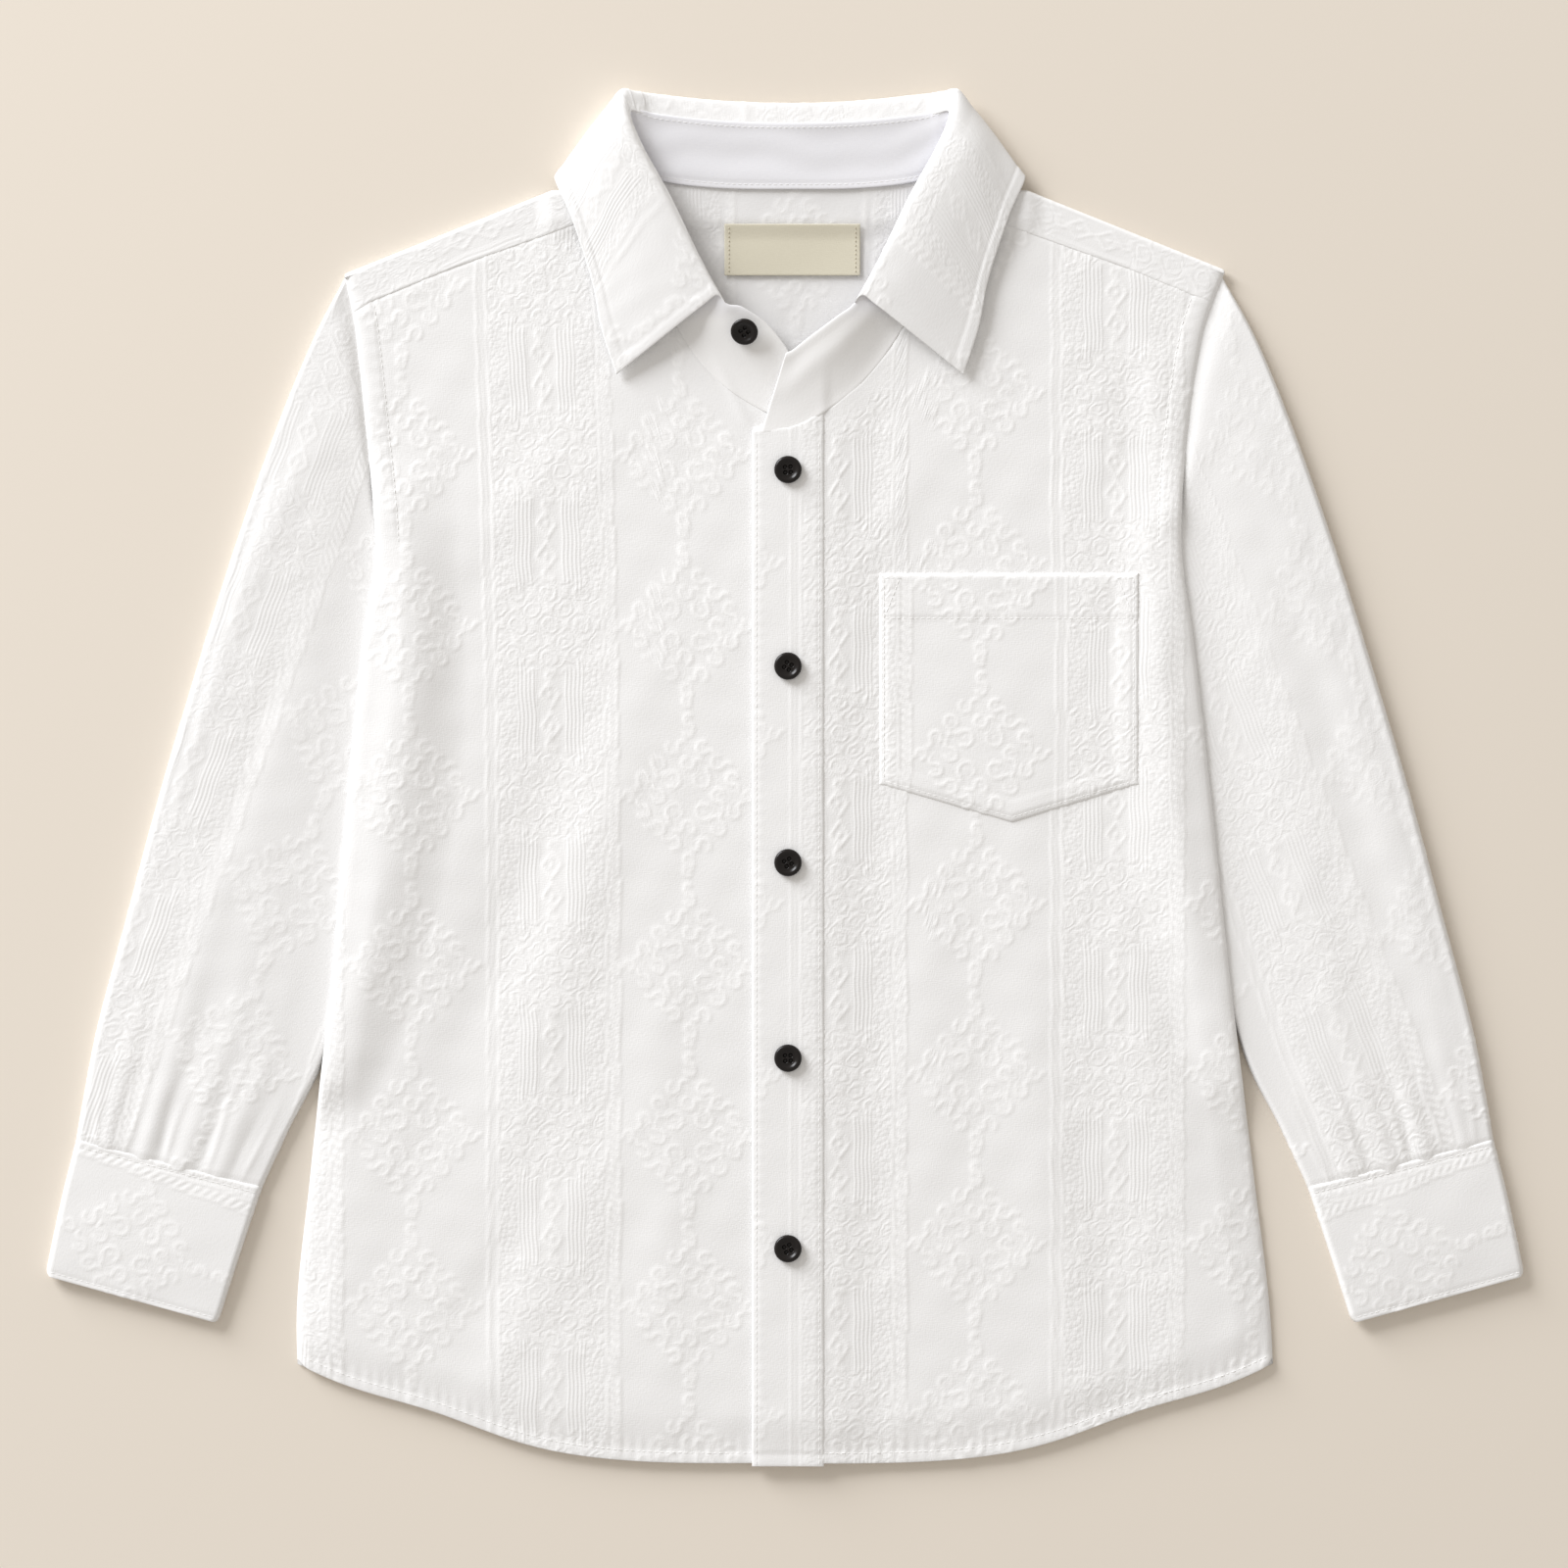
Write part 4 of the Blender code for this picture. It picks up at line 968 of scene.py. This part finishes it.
# Long soft folds of each sleeve: x, y, direction in degrees, half length, half width, height
SLEEVE_SOFT_FOLDS = {
    -1: ((-226, 60, 68, 90, 9, 0.5), (-214, 20, 72, 70, 7, -0.5),
         (-236, -60, 72, 60, 8, 0.5), (-205, 110, 60, 40, 7, 0.4)),
    1: ((214, 70, 110, 80, 8, 0.5), (226, 10, 106, 80, 8, -0.5),
        (250, -40, 108, 60, 9, 0.5), (236, -80, 112, 50, 7, -0.4)),
}
# Where the rope beside the band crosses each sleeve: a point of it, and the way it runs up the sleeve
SLEEVE_ROPE = {-1: ((-184.4, 93.8), (0.335, 0.942)), 1: ((239.6, -66.2), (-0.351, 0.936))}
ROPE_U = 51.6


def share_across(spread):
    """Share of a flattened layer's width, for places round it."""
    return 0.5 * (1 - np.cos(math.pi * spread))


def flat_ring(x, y, spread, heights, rolls, cloth, under):
    """Rings of a flattened tube: x, y and height of a layer whose skin stands off its cloth's middle."""
    outer, inner = joined(x[:, 0], y[:, 0]), joined(x[:, -1], y[:, -1])
    width = np.linalg.norm(inner - outer, axis=-1)[:, None]
    inset = share_across(np.minimum(spread, 1 - spread))[None, :] * width
    opening = np.sqrt(1 - (1 - np.minimum(inset / rolls, 1)) ** 2)
    way = (outer - inner) / width
    push = np.where(spread < 0.5, 1, -1)[None, :] * (1 - opening) * cloth
    offset = way[:, None, :] * push[..., None]
    middle = CLOTH / 2 + heights / 2
    z = middle + (-1 if under else 1) * opening * (heights / 2 + cloth)
    return offset, z


def spread_of(count):
    """Places round a flattened layer, closer together at its two folds."""
    even = np.linspace(0, 1, count)
    shares = 0.85 * even + 0.15 * share_across(even)
    return np.arccos(np.clip(1 - 2 * shares, -1, 1)) / math.pi


def sleeve_layer(side, spread, under):
    """Points of a sleeve's upper or lower layer, row by row from the armhole to the cuff."""
    top_x, arm_x = half_width(np.array([ARMHOLE_TOP_Y, UNDERARM_Y]), side) + ARMHOLE_REACH
    table = [(top_x, ARMHOLE_TOP_Y, arm_x, UNDERARM_Y, 1, ARMHOLE_HEIGHT, 1)] + list(SLEEVE_SECTIONS)
    places = np.linspace(0, 9, SLEEVE_ROWS)
    rows = follow([(i,) + tuple(row) for i, row in enumerate(table)], places)
    outer_x, outer_y, inner_x, inner_y, bow, height, edge = rows.T[..., None]
    place = places[:, None]
    inner_x = inner_x + (arm_x - ARM_MEAN_X) * np.interp(place, (0, 1, 4), (0, 1, 0))
    shares = share_across(spread)[None, :]
    bulge = np.clip(np.sin(math.pi * shares), 0, 1) ** 0.7
    shares = shares - np.interp(place, (0, 1, 2), (0.06, 0.03, 0)) * bulge
    curve_y = part_way(ARMHOLE_TOP_Y, UNDERARM_Y, shares)
    curve = half_width(curve_y, side) + ARMHOLE_REACH - top_x - (arm_x - top_x) * shares
    x = part_way(outer_x, inner_x, shares) + bow * curve
    y = part_way(outer_y, inner_y, shares)
    distance = np.hypot(outer_x - outer_x[-1], outer_y - outer_y[-1])
    heights = part_way(SLEEVE_FLAT, height, smooth((edge - 0.03 - shares) / 0.38))
    for at, width, rise in SLEEVE_FOLDS:
        heights = heights + ridge(distance, 55) * rise * ridge(shares - at, width)
    inner_roll = np.interp(place, (0, 1, 2), (9, 5, FOLD_ROLL))
    rolls = np.where(spread[None, :] < 0.5, FOLD_ROLL, inner_roll)
    offset, z = flat_ring(x, y, spread, heights, rolls, CLOTH / 2, under)
    if not under:
        opened = np.minimum(spread, 1 - spread)[None, :] / 0.12
        free = smooth((edge - 0.06 - shares) / 0.2) * smooth((shares - 0.03) / 0.06)
        for at, width, rise, reach in SLEEVE_CREASES:
            lean = at + 0.012 * np.sin(distance / 9 + 20 * at)
            fade = free * ridge(distance, reach) * (0.3 + 0.7 * smooth(distance / 7))
            z = z + fade * rise * ridge(shares - lean, width)
        z = z + free * folds(side * (x + offset[..., 0]), y, SLEEVE_SOFT_FOLDS[side])
        z = z + free * rumple(x + 7, y)
        set_in = np.hypot(x - part_way(outer_x[0], inner_x[0], shares[:1]),
                          y - part_way(outer_y[0], inner_y[0], shares[:1]))
        z = z - (1.5 * ridge(set_in, 8) + 0.3 * ridge(set_in, 0.8)) * smooth(2 * opened)
    tucked = np.clip(1 - distance / 2, 0, 1)
    z = z + (0.3 if under else -0.7) * tucked
    return joined(side * (x + offset[..., 0] + 0.5 * tucked), y + offset[..., 1] - 1.9 * tucked, z)


def along_sleeve(points, side):
    """Cloth places on a sleeve: across from the rope's line, and up the sleeve."""
    (start_x, start_y), (way_x, way_y) = SLEEVE_ROPE[side]
    dx = points[..., 0] - start_x
    dy = points[..., 1] - start_y
    return dx * way_y - dy * way_x + ROPE_U, dx * way_x + dy * way_y


def tube(name, side, layers, places_of, strength):
    """A flattened tube of cloth, from its upper and lower layers. places_of gives its cloth places."""
    points = np.concatenate([layers[0], layers[1][:, -2:0:-1]], axis=1)
    u, v = places_of(points, side)
    points, u, v = [np.concatenate([grid[:, -1:], grid, grid[:, :1]], axis=1) for grid in (points, u, v)]
    points, cloth, chart = skin(points, u, v, side, strength=strength, rim=False)
    grid = (points[:, 1:-1], cloth[:, 1:-1], {key: value[:, 1:-1] for key, value in chart.items()})
    return lay(name, [grid], wrap=True)


for side, name in ((-1, "right"), (1, "left")):
    layers = [sleeve_layer(side, spread_of(SLEEVE_TOP_COLUMNS), False),
              sleeve_layer(side, spread_of(SLEEVE_UNDER_COLUMNS), True)]
    plain_at_arm = 0.45 + 0.4 * smooth(np.linspace(0, 1.6, SLEEVE_ROWS)[:, None])
    sleeve = tube("sleeve_cloth_" + name, side, layers, along_sleeve, plain_at_arm)
    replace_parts(sleeve, "sleeve_" + name)

# Cuffs.
# Bands of doubled cloth, cut across the grain and stitched round both edges.
CUFF_STITCH = 1.7
CUFF_CORNER = 3.5
CUFF_FOLD_BACK = 6
CUFF_TOP_COLUMNS = 84
CUFF_UNDER_COLUMNS = 30
CUFF_FLAT_ROWS = 66
# Across a cuff: x and y of its outer fold, x and y of its inner fold, height
CUFF_SECTIONS = (
    (288.7, -147.9, 214.1, -167.3, 2.9), (293.4, -166.2, 220.2, -185.8, 3.1),
    (297.4, -184.2, 226, -203.6, 3.1), (301.2, -202.2, 231.6, -221.4, 2.7),
)


def cuff_layer(side, spread, under):
    """Points of a cuff's upper or lower layer. The last rows turn in at its open end."""
    flat = CUFF_FLAT_ROWS
    places = np.concatenate([np.zeros(3), np.linspace(0, 3, flat), np.full(5, 3)])
    cloth = np.concatenate([(-1.4, -0.4, 0.35), np.full(flat, 0.5), (0.42, 0, -0.35, -0.4, -0.4)])[:, None]
    reach = np.concatenate([(-1.3, -1.2, -0.8), np.zeros(flat), (0.2, 0.35, 0.2, -0.6, -CUFF_FOLD_BACK)])[:, None]
    rows = follow([(i,) + row for i, row in enumerate(CUFF_SECTIONS)], places)
    outer_x, outer_y, inner_x, inner_y, height = rows.T[..., None]
    length = np.hypot(outer_x[-1] - outer_x[0], outer_y[-1] - outer_y[0])
    down = places[:, None] / 3 * length
    corner = np.clip(1 - (length - down) / CUFF_CORNER, 0, 1)
    corner = 0.02 * (1 - np.sqrt(1 - 0.98 * corner * corner))
    shares = corner + (1 - 2 * corner) * share_across(spread)[None, :]
    x = part_way(outer_x, inner_x, shares) + 0.22 * reach
    y = part_way(outer_y, inner_y, shares) - SEAM - 0.97 * reach
    heights = height + np.zeros(x.shape)
    offset, z = flat_ring(x, y, spread, heights, np.full(x.shape, FOLD_ROLL), cloth, under)
    if not under:
        for stitch in (CUFF_STITCH, length - CUFF_STITCH):
            z = z - 0.2 * ridge(down - stitch, 0.9) * (reach == 0)
        bow = 0.35 * np.sin(math.pi * places / 3)[:, None] * np.sin(math.pi * shares)
        z = z + bow + 0.8 * rumple(x, y) * (reach == 0)
    return joined(side * (x + offset[..., 0]), y + offset[..., 1], z)


def across_cuff(points, side):
    """Cloth places on a cuff, which is cut across the sleeve's grain."""
    u, v = along_sleeve(points, side)
    return (-v - 100, u) if side < 0 else (-v - 45.8, u - 16)


for side, name in ((-1, "right"), (1, "left")):
    layers = [cuff_layer(side, spread_of(CUFF_TOP_COLUMNS), False),
              cuff_layer(side, spread_of(CUFF_UNDER_COLUMNS), True)]
    cuff = tube("cuff_cloth_" + name, side, layers, across_cuff, 0.8)
    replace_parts(cuff, "cuff_" + name)
    lines = []
    for section, shift in ((CUFF_SECTIONS[0], -CUFF_STITCH), (CUFF_SECTIONS[-1], CUFF_STITCH)):
        outer_x, outer_y, inner_x, inner_y, _ = section
        share = np.linspace(0.02, 0.98, 20)
        line_y = part_way(outer_y, inner_y, share) - SEAM + shift
        lines.append(joined(side * part_way(outer_x, inner_x, share), line_y))
    cuff_stitches = sew("cuff_stitches_" + name, cuff, lines)

# Collar stand.
# The plain, interlined band that rings the neck. Its two ends pass the leaf and lap at the front.
# The stand's two edges, from the back to one front: distance from the neck's centre, y, height
NECK_SEAM = (
    (0, 240.6, 3.1), (28.4, 241, 3.1), (52, 243.9, 3.1), (61.5, 249.8, 3.2), (66.8, 257.6, 3.9),
    (64.6, 243, 5.4), (60, 221, 5.2), (53, 198.6, 5), (41.6, 177.4, 5),
)
STAND_TOP = (
    (0, 266.8, 4.4), (27.2, 267.6, 4.4), (52.6, 270.2, 4.9), (60, 271.8, 6), (65.4, 271.8, 7.4),
    (60.8, 258.2, 9), (49.5, 237.5, 9.5), (37.6, 213, 9.3), (27.5, 194.6, 8.9),
)
# The stand's ends: distance from the neck's centre, y and height of the neck seam, then of the top edge
STAND_END_RIGHT = (
    (30, 163.2, 4.9, 19.5, 191.6, 8.4), (18, 154.2, 4.6, 9.5, 184.8, 7), (5, 147.8, 4.2, 1, 174.4, 5.7),
    (-6, 147.4, 4.1, -4.6, 163, 4.9),
)
STAND_END_LEFT = (
    (29, 161.4, 5.2, 19, 187.6, 8.9), (16, 151, 6, 8.5, 179.8, 8.1), (2, 142.6, 6.2, 1.5, 174.4, 7.5),
    (-11.4, 141, 6.2, -1.4, 173, 7.4),
)
STAND_FEATHER = 17
STAND_HOLLOW = 0.25
STAND_COLUMNS = 330
STAND_ROWS = 34
# Its ground colour is darker and bluer than the shirt's white: painted shade, where the band stands inside the
# neck.
plain = make_cloth("Plain interlined cotton, painted shade in the neck", (0.8, 0.8, 0.845), (0.905, 0.9, 0.895), 0.85, 0.08)


def collar_line(half, right_end=(), left_end=()):
    """A line of the collar from its right end, round the back, to its left end."""
    right = [(NECK_X - out, y, z) for out, y, z in list(half) + list(right_end)]
    left = [(NECK_X + out, y, z) for out, y, z in list(half)[1:] + list(left_end)]
    return [(i,) + point for i, point in enumerate(right[::-1] + left)]


def between(lines, places):
    """Points of a sheet that is drawn through the collar's lines, at places from the first to the last."""
    lines = np.asarray(lines)
    knots = running(np.linalg.norm(np.diff(lines, axis=0), axis=2).mean(axis=1))
    rows = np.concatenate([knots[:, None], lines.reshape(len(lines), -1)], axis=1)
    grid = follow(rows, np.asarray(places) * knots[-1]).reshape(len(places), -1, 3)
    grid[..., 2] = np.maximum(grid[..., 2], CLOTH / 2)
    return grid


def along_collar(points):
    """Cloth places on a collar grid: distance along its rows, and up its columns."""
    u = running(np.linalg.norm(np.diff(points, axis=1), axis=2).mean(axis=0))
    v = running(np.linalg.norm(np.diff(points, axis=0), axis=2).mean(axis=1))
    return np.broadcast_arrays(u[None, :] - u[-1] / 2, v[:, None])


low_line = collar_line(NECK_SEAM, [row[:3] for row in STAND_END_RIGHT], [row[:3] for row in STAND_END_LEFT])
top_line = collar_line(STAND_TOP, [row[3:] for row in STAND_END_RIGHT], [row[3:] for row in STAND_END_LEFT])
places = np.linspace(0, len(low_line) - 1, STAND_COLUMNS)
low_points = follow(low_line, places)
top_points = follow(top_line, places)
middle_points = (low_points + top_points) / 2 - (0, 0, STAND_HOLLOW)
stand_points = between([low_points, middle_points, top_points], np.linspace(0, 1, STAND_ROWS))
stand_u, stand_v = along_collar(stand_points)
stand_normals = surface_normals(stand_points)
facing = np.sign(stand_normals[..., 2].mean())
showing = stand_normals * np.clip(3 * stand_normals[..., 2:], -1, 1)
edge_lift = 0.15 * ridge(stand_v - stand_v.max() + 1, 1.5)
edge_lift = edge_lift - 0.16 * ridge(stand_v - 1.8, 0.8)
wave = 0.16 * np.sin(stand_u / 9 + 0.6 * np.sin(stand_u / 17) + stand_v / 12)
wave = wave * np.sin(math.pi * stand_v / stand_v.max())
wave = wave + 0.1 * np.sin(stand_v / 1.9 + 1.4 * np.sin(stand_u / 15) + 0.5 * np.sin(stand_u / 5.3))
outer_points = stand_points + showing * (CLOTH / 2 + edge_lift + wave)[..., None]
x, y, z = outer_points[..., 0], outer_points[..., 1], outer_points[..., 2]
past_placket = smooth((x - FRONT_X - PLACKET_WIDTH / 2 + 1) / 5)
under_left = front_middle(x, y, 1) + CLOTH / 2 + (LAYER - PRESSED) * (1 - past_placket)
on_left = stand_u > 0
below = np.where(on_left, under_left, front_middle(x, y, -1) + CLOTH / 2)
at_front = smooth((198 - y) / 16)
settled = at_front * (1 - smooth(stand_v / STAND_FEATHER))
outer_points[..., 2] = part_way(z, below - 0.05, settled)
stand_grid = skin(outer_points, stand_u, stand_v, int(facing), strength=0, relief=0, inward=-showing)
# The figure layer lightens only the stand's ends at the front to the whiter raised colour, out of the painted
# shade of the neck.
stand_grid[2]["figure"][:] = widen(at_front)[:, ::int(facing)] * 0.9
stand = lay("collar_stand_cloth", [stand_grid], plain)
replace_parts(stand, "collar_stand")
stand_lines = [outer_points[row][outer_points[row, :, 1] > 205][:, :2] for row in (2, -3)]
stand_stitches = sew("collar_stand_stitches", stand, stand_lines)

# Collar leaf.
# The turned-down leaf of doubled jacquard. It rolls over the stand's top, lies under the yoke at the
# back, and comes down to a point on each front. A seam's edge inside makes its border stand up.
LEAF_BORDER = 5
LEAF_COLUMNS = 300
# The leaf's lines, from the back to one front: distance from the neck's centre, y, height
ROLL_LINE = (
    (0, 275, 3), (28.4, 276, 3), (55, 278.6, 3.8), (62.6, 279.6, 5.6), (68.5, 279, 8.4),
    (65.2, 262.6, 11.6), (53.8, 241, 12.3), (41, 216, 11.8), (30, 196.8, 10.9),
)
LEAF_TURN = (
    (0, 267.6, 0.5), (29, 268.4, 0.5), (58, 270.8, 0.5), (69, 273, 0.9), (74.5, 272.4, 6.6),
    (70.4, 259.6, 11.4), (58.8, 237.2, 12), (45.8, 212.2, 11.5), (34.4, 193.6, 10.6),
)
LEAF_EDGE = (
    (0, 231.8, 0.5), (31.2, 232.2, 0.5), (64, 234.4, 0.5), (86, 240.4, 0.5), (95.4, 245.2, 4.3),
    (88.8, 229, 6.9), (80.4, 203, 6.6), (76.6, 184, 6.4), (70.5, 165.2, 6),
)

leaf_lines = [collar_line(half) for half in (STAND_TOP, ROLL_LINE, LEAF_TURN, LEAF_EDGE)]
places = np.linspace(0, len(leaf_lines[0]) - 1, LEAF_COLUMNS)
start, roll, turn, edge = [follow(line, places) for line in leaf_lines]
away = roll - start
start = start - away * (0.9 / np.linalg.norm(away, axis=1, keepdims=True)) - (0, 0, 0.3)
at_side = smooth((roll[:, 2:] - 4) / 5)
start = start + (0, 0, 1.2) * at_side
roll = roll - (0, 0, 0.9) * at_side
turn = turn - (0, 0, 0.5) * at_side
across_leaf = np.concatenate([np.linspace(0, 0.3, 26)[:-1], np.linspace(0.3, 1, 56)])
leaf_points = between([start, roll, turn, edge], across_leaf)
leaf_normals = surface_normals(leaf_points)
facing = np.sign(leaf_normals[60:, 20, 2].mean())
leaf_u, leaf_v = along_collar(leaf_points)
steps = np.linalg.norm(np.diff(leaf_points, axis=0), axis=2)
from_edge = np.concatenate([np.cumsum(steps[::-1], axis=0)[::-1], np.zeros((1, steps.shape[1]))])
along_steps = np.linalg.norm(np.diff(leaf_points, axis=1), axis=2)
from_right = np.concatenate([np.zeros((leaf_points.shape[0], 1)), np.cumsum(along_steps, axis=1)], axis=1)
from_ends = np.minimum(from_right, from_right[:, -1:] - from_right)
border = np.minimum(from_edge, from_ends + 0.8)
lift = 0.2 * bar(border, -1, LEAF_BORDER, 3) - 0.12 * ridge(border - LEAF_BORDER - 0.4, 0.9)
lift = lift + 0.5 * rumple(2 * leaf_u, leaf_v)
outer_points = leaf_points + leaf_normals * facing * (CLOTH / 2 + lift)[..., None]
leaf_grid = skin(outer_points, leaf_u + 20, leaf_v, int(facing), thickness=0.9, strength=0.75, relief=0.2)
leaf = lay("collar_leaf_cloth", [leaf_grid])
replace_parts(leaf, "collar_leaf")

# Label.
# A small woven tape sewn to the yoke's inner cloth at its two short ends. It is left bare.
LABEL_BOX = (-24.4, 30.4, 205.4, 225.8)
label_cloth = make_cloth("Woven label tape", (0.66, 0.62, 0.495), (0.76, 0.72, 0.6), 0.7, 0.14)
left, right, low_edge, high_edge = LABEL_BOX
x, y = np.meshgrid(np.linspace(left, right, 80), np.linspace(low_edge, high_edge, 34))
z = back_bottom(x, y) + CLOTH + LAYER + 0.15 + 0.15 * np.sin((x - left) / 9) * np.sin((y - low_edge) / 7)
label_grid = skin(joined(x, y, z), x, y, 1, thickness=0.6, strength=0, relief=0)
label = lay("label_tape", [label_grid], label_cloth)
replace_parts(label, "label")
label_lines = [
    [(at, v) for v in np.linspace(low_edge + 0.6, high_edge - 0.6, 8)] for at in (left + 1.6, right - 1.6)
]
tan_thread = make_cloth("Tan thread", (0.5, 0.45, 0.34), (0.58, 0.53, 0.41), 0.7, 0.05)
label_stitches = sew("label_stitches", label, label_lines, length=0.9, pitch=1.7, width=0.55, material=tan_thread)

# Buttons.
# Six black polyester buttons, turned with a raised rim and a dished middle with four holes in it:
# five down the placket, and one on the stand's right end.
BUTTON_DISH = 1.3
DISH_RADIUS = 2.6
DISH_ROWS = 15
# A button's outline outside its dish, from its upper face to its back: radius, height
BUTTON_ROUND = (
    (2.9, 1.36), (3.4, 1.6), (3.8, 2), (4.2, 2.18), (4.7, 2.2), (5.1, 2.05), (5.4, 1.75), (5.6, 1.35),
    (5.5, 0.9), (5.2, 0.45), (4.8, 0.15), (4.4, 0.02), (2, 0),
)
BUTTON_COLUMNS = 72
HOLE_OUT = 1.414 * 1.12
HOLE_ROUND = 0.78
HOLE_DEEP = 1.15
BUTTON_Y = (125.8, 45.8, -34.2, -113.8, -191.4)
COLLAR_BUTTON = (-16.4, 182.2)
COLLAR_BUTTON_LEAN = (-0.13, -0.3, 0)
LEAN_RISE = 5

polyester, polyester_tree, polyester_shader = new_material("Black polyester")
give(polyester_shader, {"Specular IOR Level": 0.3})
swirl = polyester_tree.nodes.new("ShaderNodeTexNoise")
give(swirl, {"Scale": 900, "Detail": 2})
where = polyester_tree.nodes.new("ShaderNodeTexCoord")
polyester_tree.links.new(where.outputs["Object"], swirl.inputs["Vector"])
shades = polyester_tree.nodes.new("ShaderNodeMix")
shades.data_type = "RGBA"
give(shades, {"A": (0.006, 0.0045, 0.004, 1), "B": (0.013, 0.01, 0.009, 1)})
polyester_tree.links.new(swirl.outputs[0], shades.inputs["Factor"])
polyester_tree.links.new(shades.outputs["Result"], polyester_shader.inputs["Base Color"])
polyester_tree.links.new(add_math(polyester_tree, "MULTIPLY_ADD", swirl.outputs[0], 0.16, 0.22),
                         polyester_shader.inputs["Roughness"])


def button(name, host, x, y, lean):
    """One button, seated on its host where x and y are, and turned with the cloth there."""
    point, normal = drop(tree_of(host), x, y, None)
    normal = normal + lean
    point = point + (0, 0, LEAN_RISE * float(np.linalg.norm(lean)))
    profile = [(radius, BUTTON_DISH) for radius in np.linspace(0, DISH_RADIUS, DISH_ROWS)] + list(BUTTON_ROUND)
    radius, level = np.array(profile).T[..., None]
    turned = 0.4 * y
    turn = np.linspace(0, 2 * math.pi, BUTTON_COLUMNS, endpoint=False)[None, :] + turned
    local_x = radius * np.cos(turn)
    local_y = radius * np.sin(turn)
    height = level + 0 * turn
    for quarter in range(4):
        angle = turned + math.pi / 4 + quarter * math.pi / 2
        gap = np.hypot(local_x - HOLE_OUT * math.cos(angle), local_y - HOLE_OUT * math.sin(angle))
        height[:DISH_ROWS] -= (HOLE_DEEP * smooth((HOLE_ROUND - gap) / 0.3 + 0.5))[:DISH_ROWS]
    up = normal / np.linalg.norm(normal)
    across = np.cross((0, 1, 0), up)
    across = across / np.linalg.norm(across)
    along = np.cross(up, across)
    grid = point + up * SEAM + local_x[..., None] * across + local_y[..., None] * along + height[..., None] * up
    no_weave = dict.fromkeys(CHART_LAYERS, np.zeros(height.shape))
    return lay(name, [(grid, grid, no_weave)], polyester, wrap=True)


places = [(placket, FRONT_X, y, (0, 0, 0)) for y in BUTTON_Y] + [(stand, *COLLAR_BUTTON, COLLAR_BUTTON_LEAN)]
for number, (host, x, y, lean) in enumerate(places, start=1):
    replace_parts(button("button_%d_turned" % number, host, x, y, lean), "button_%d" % number)
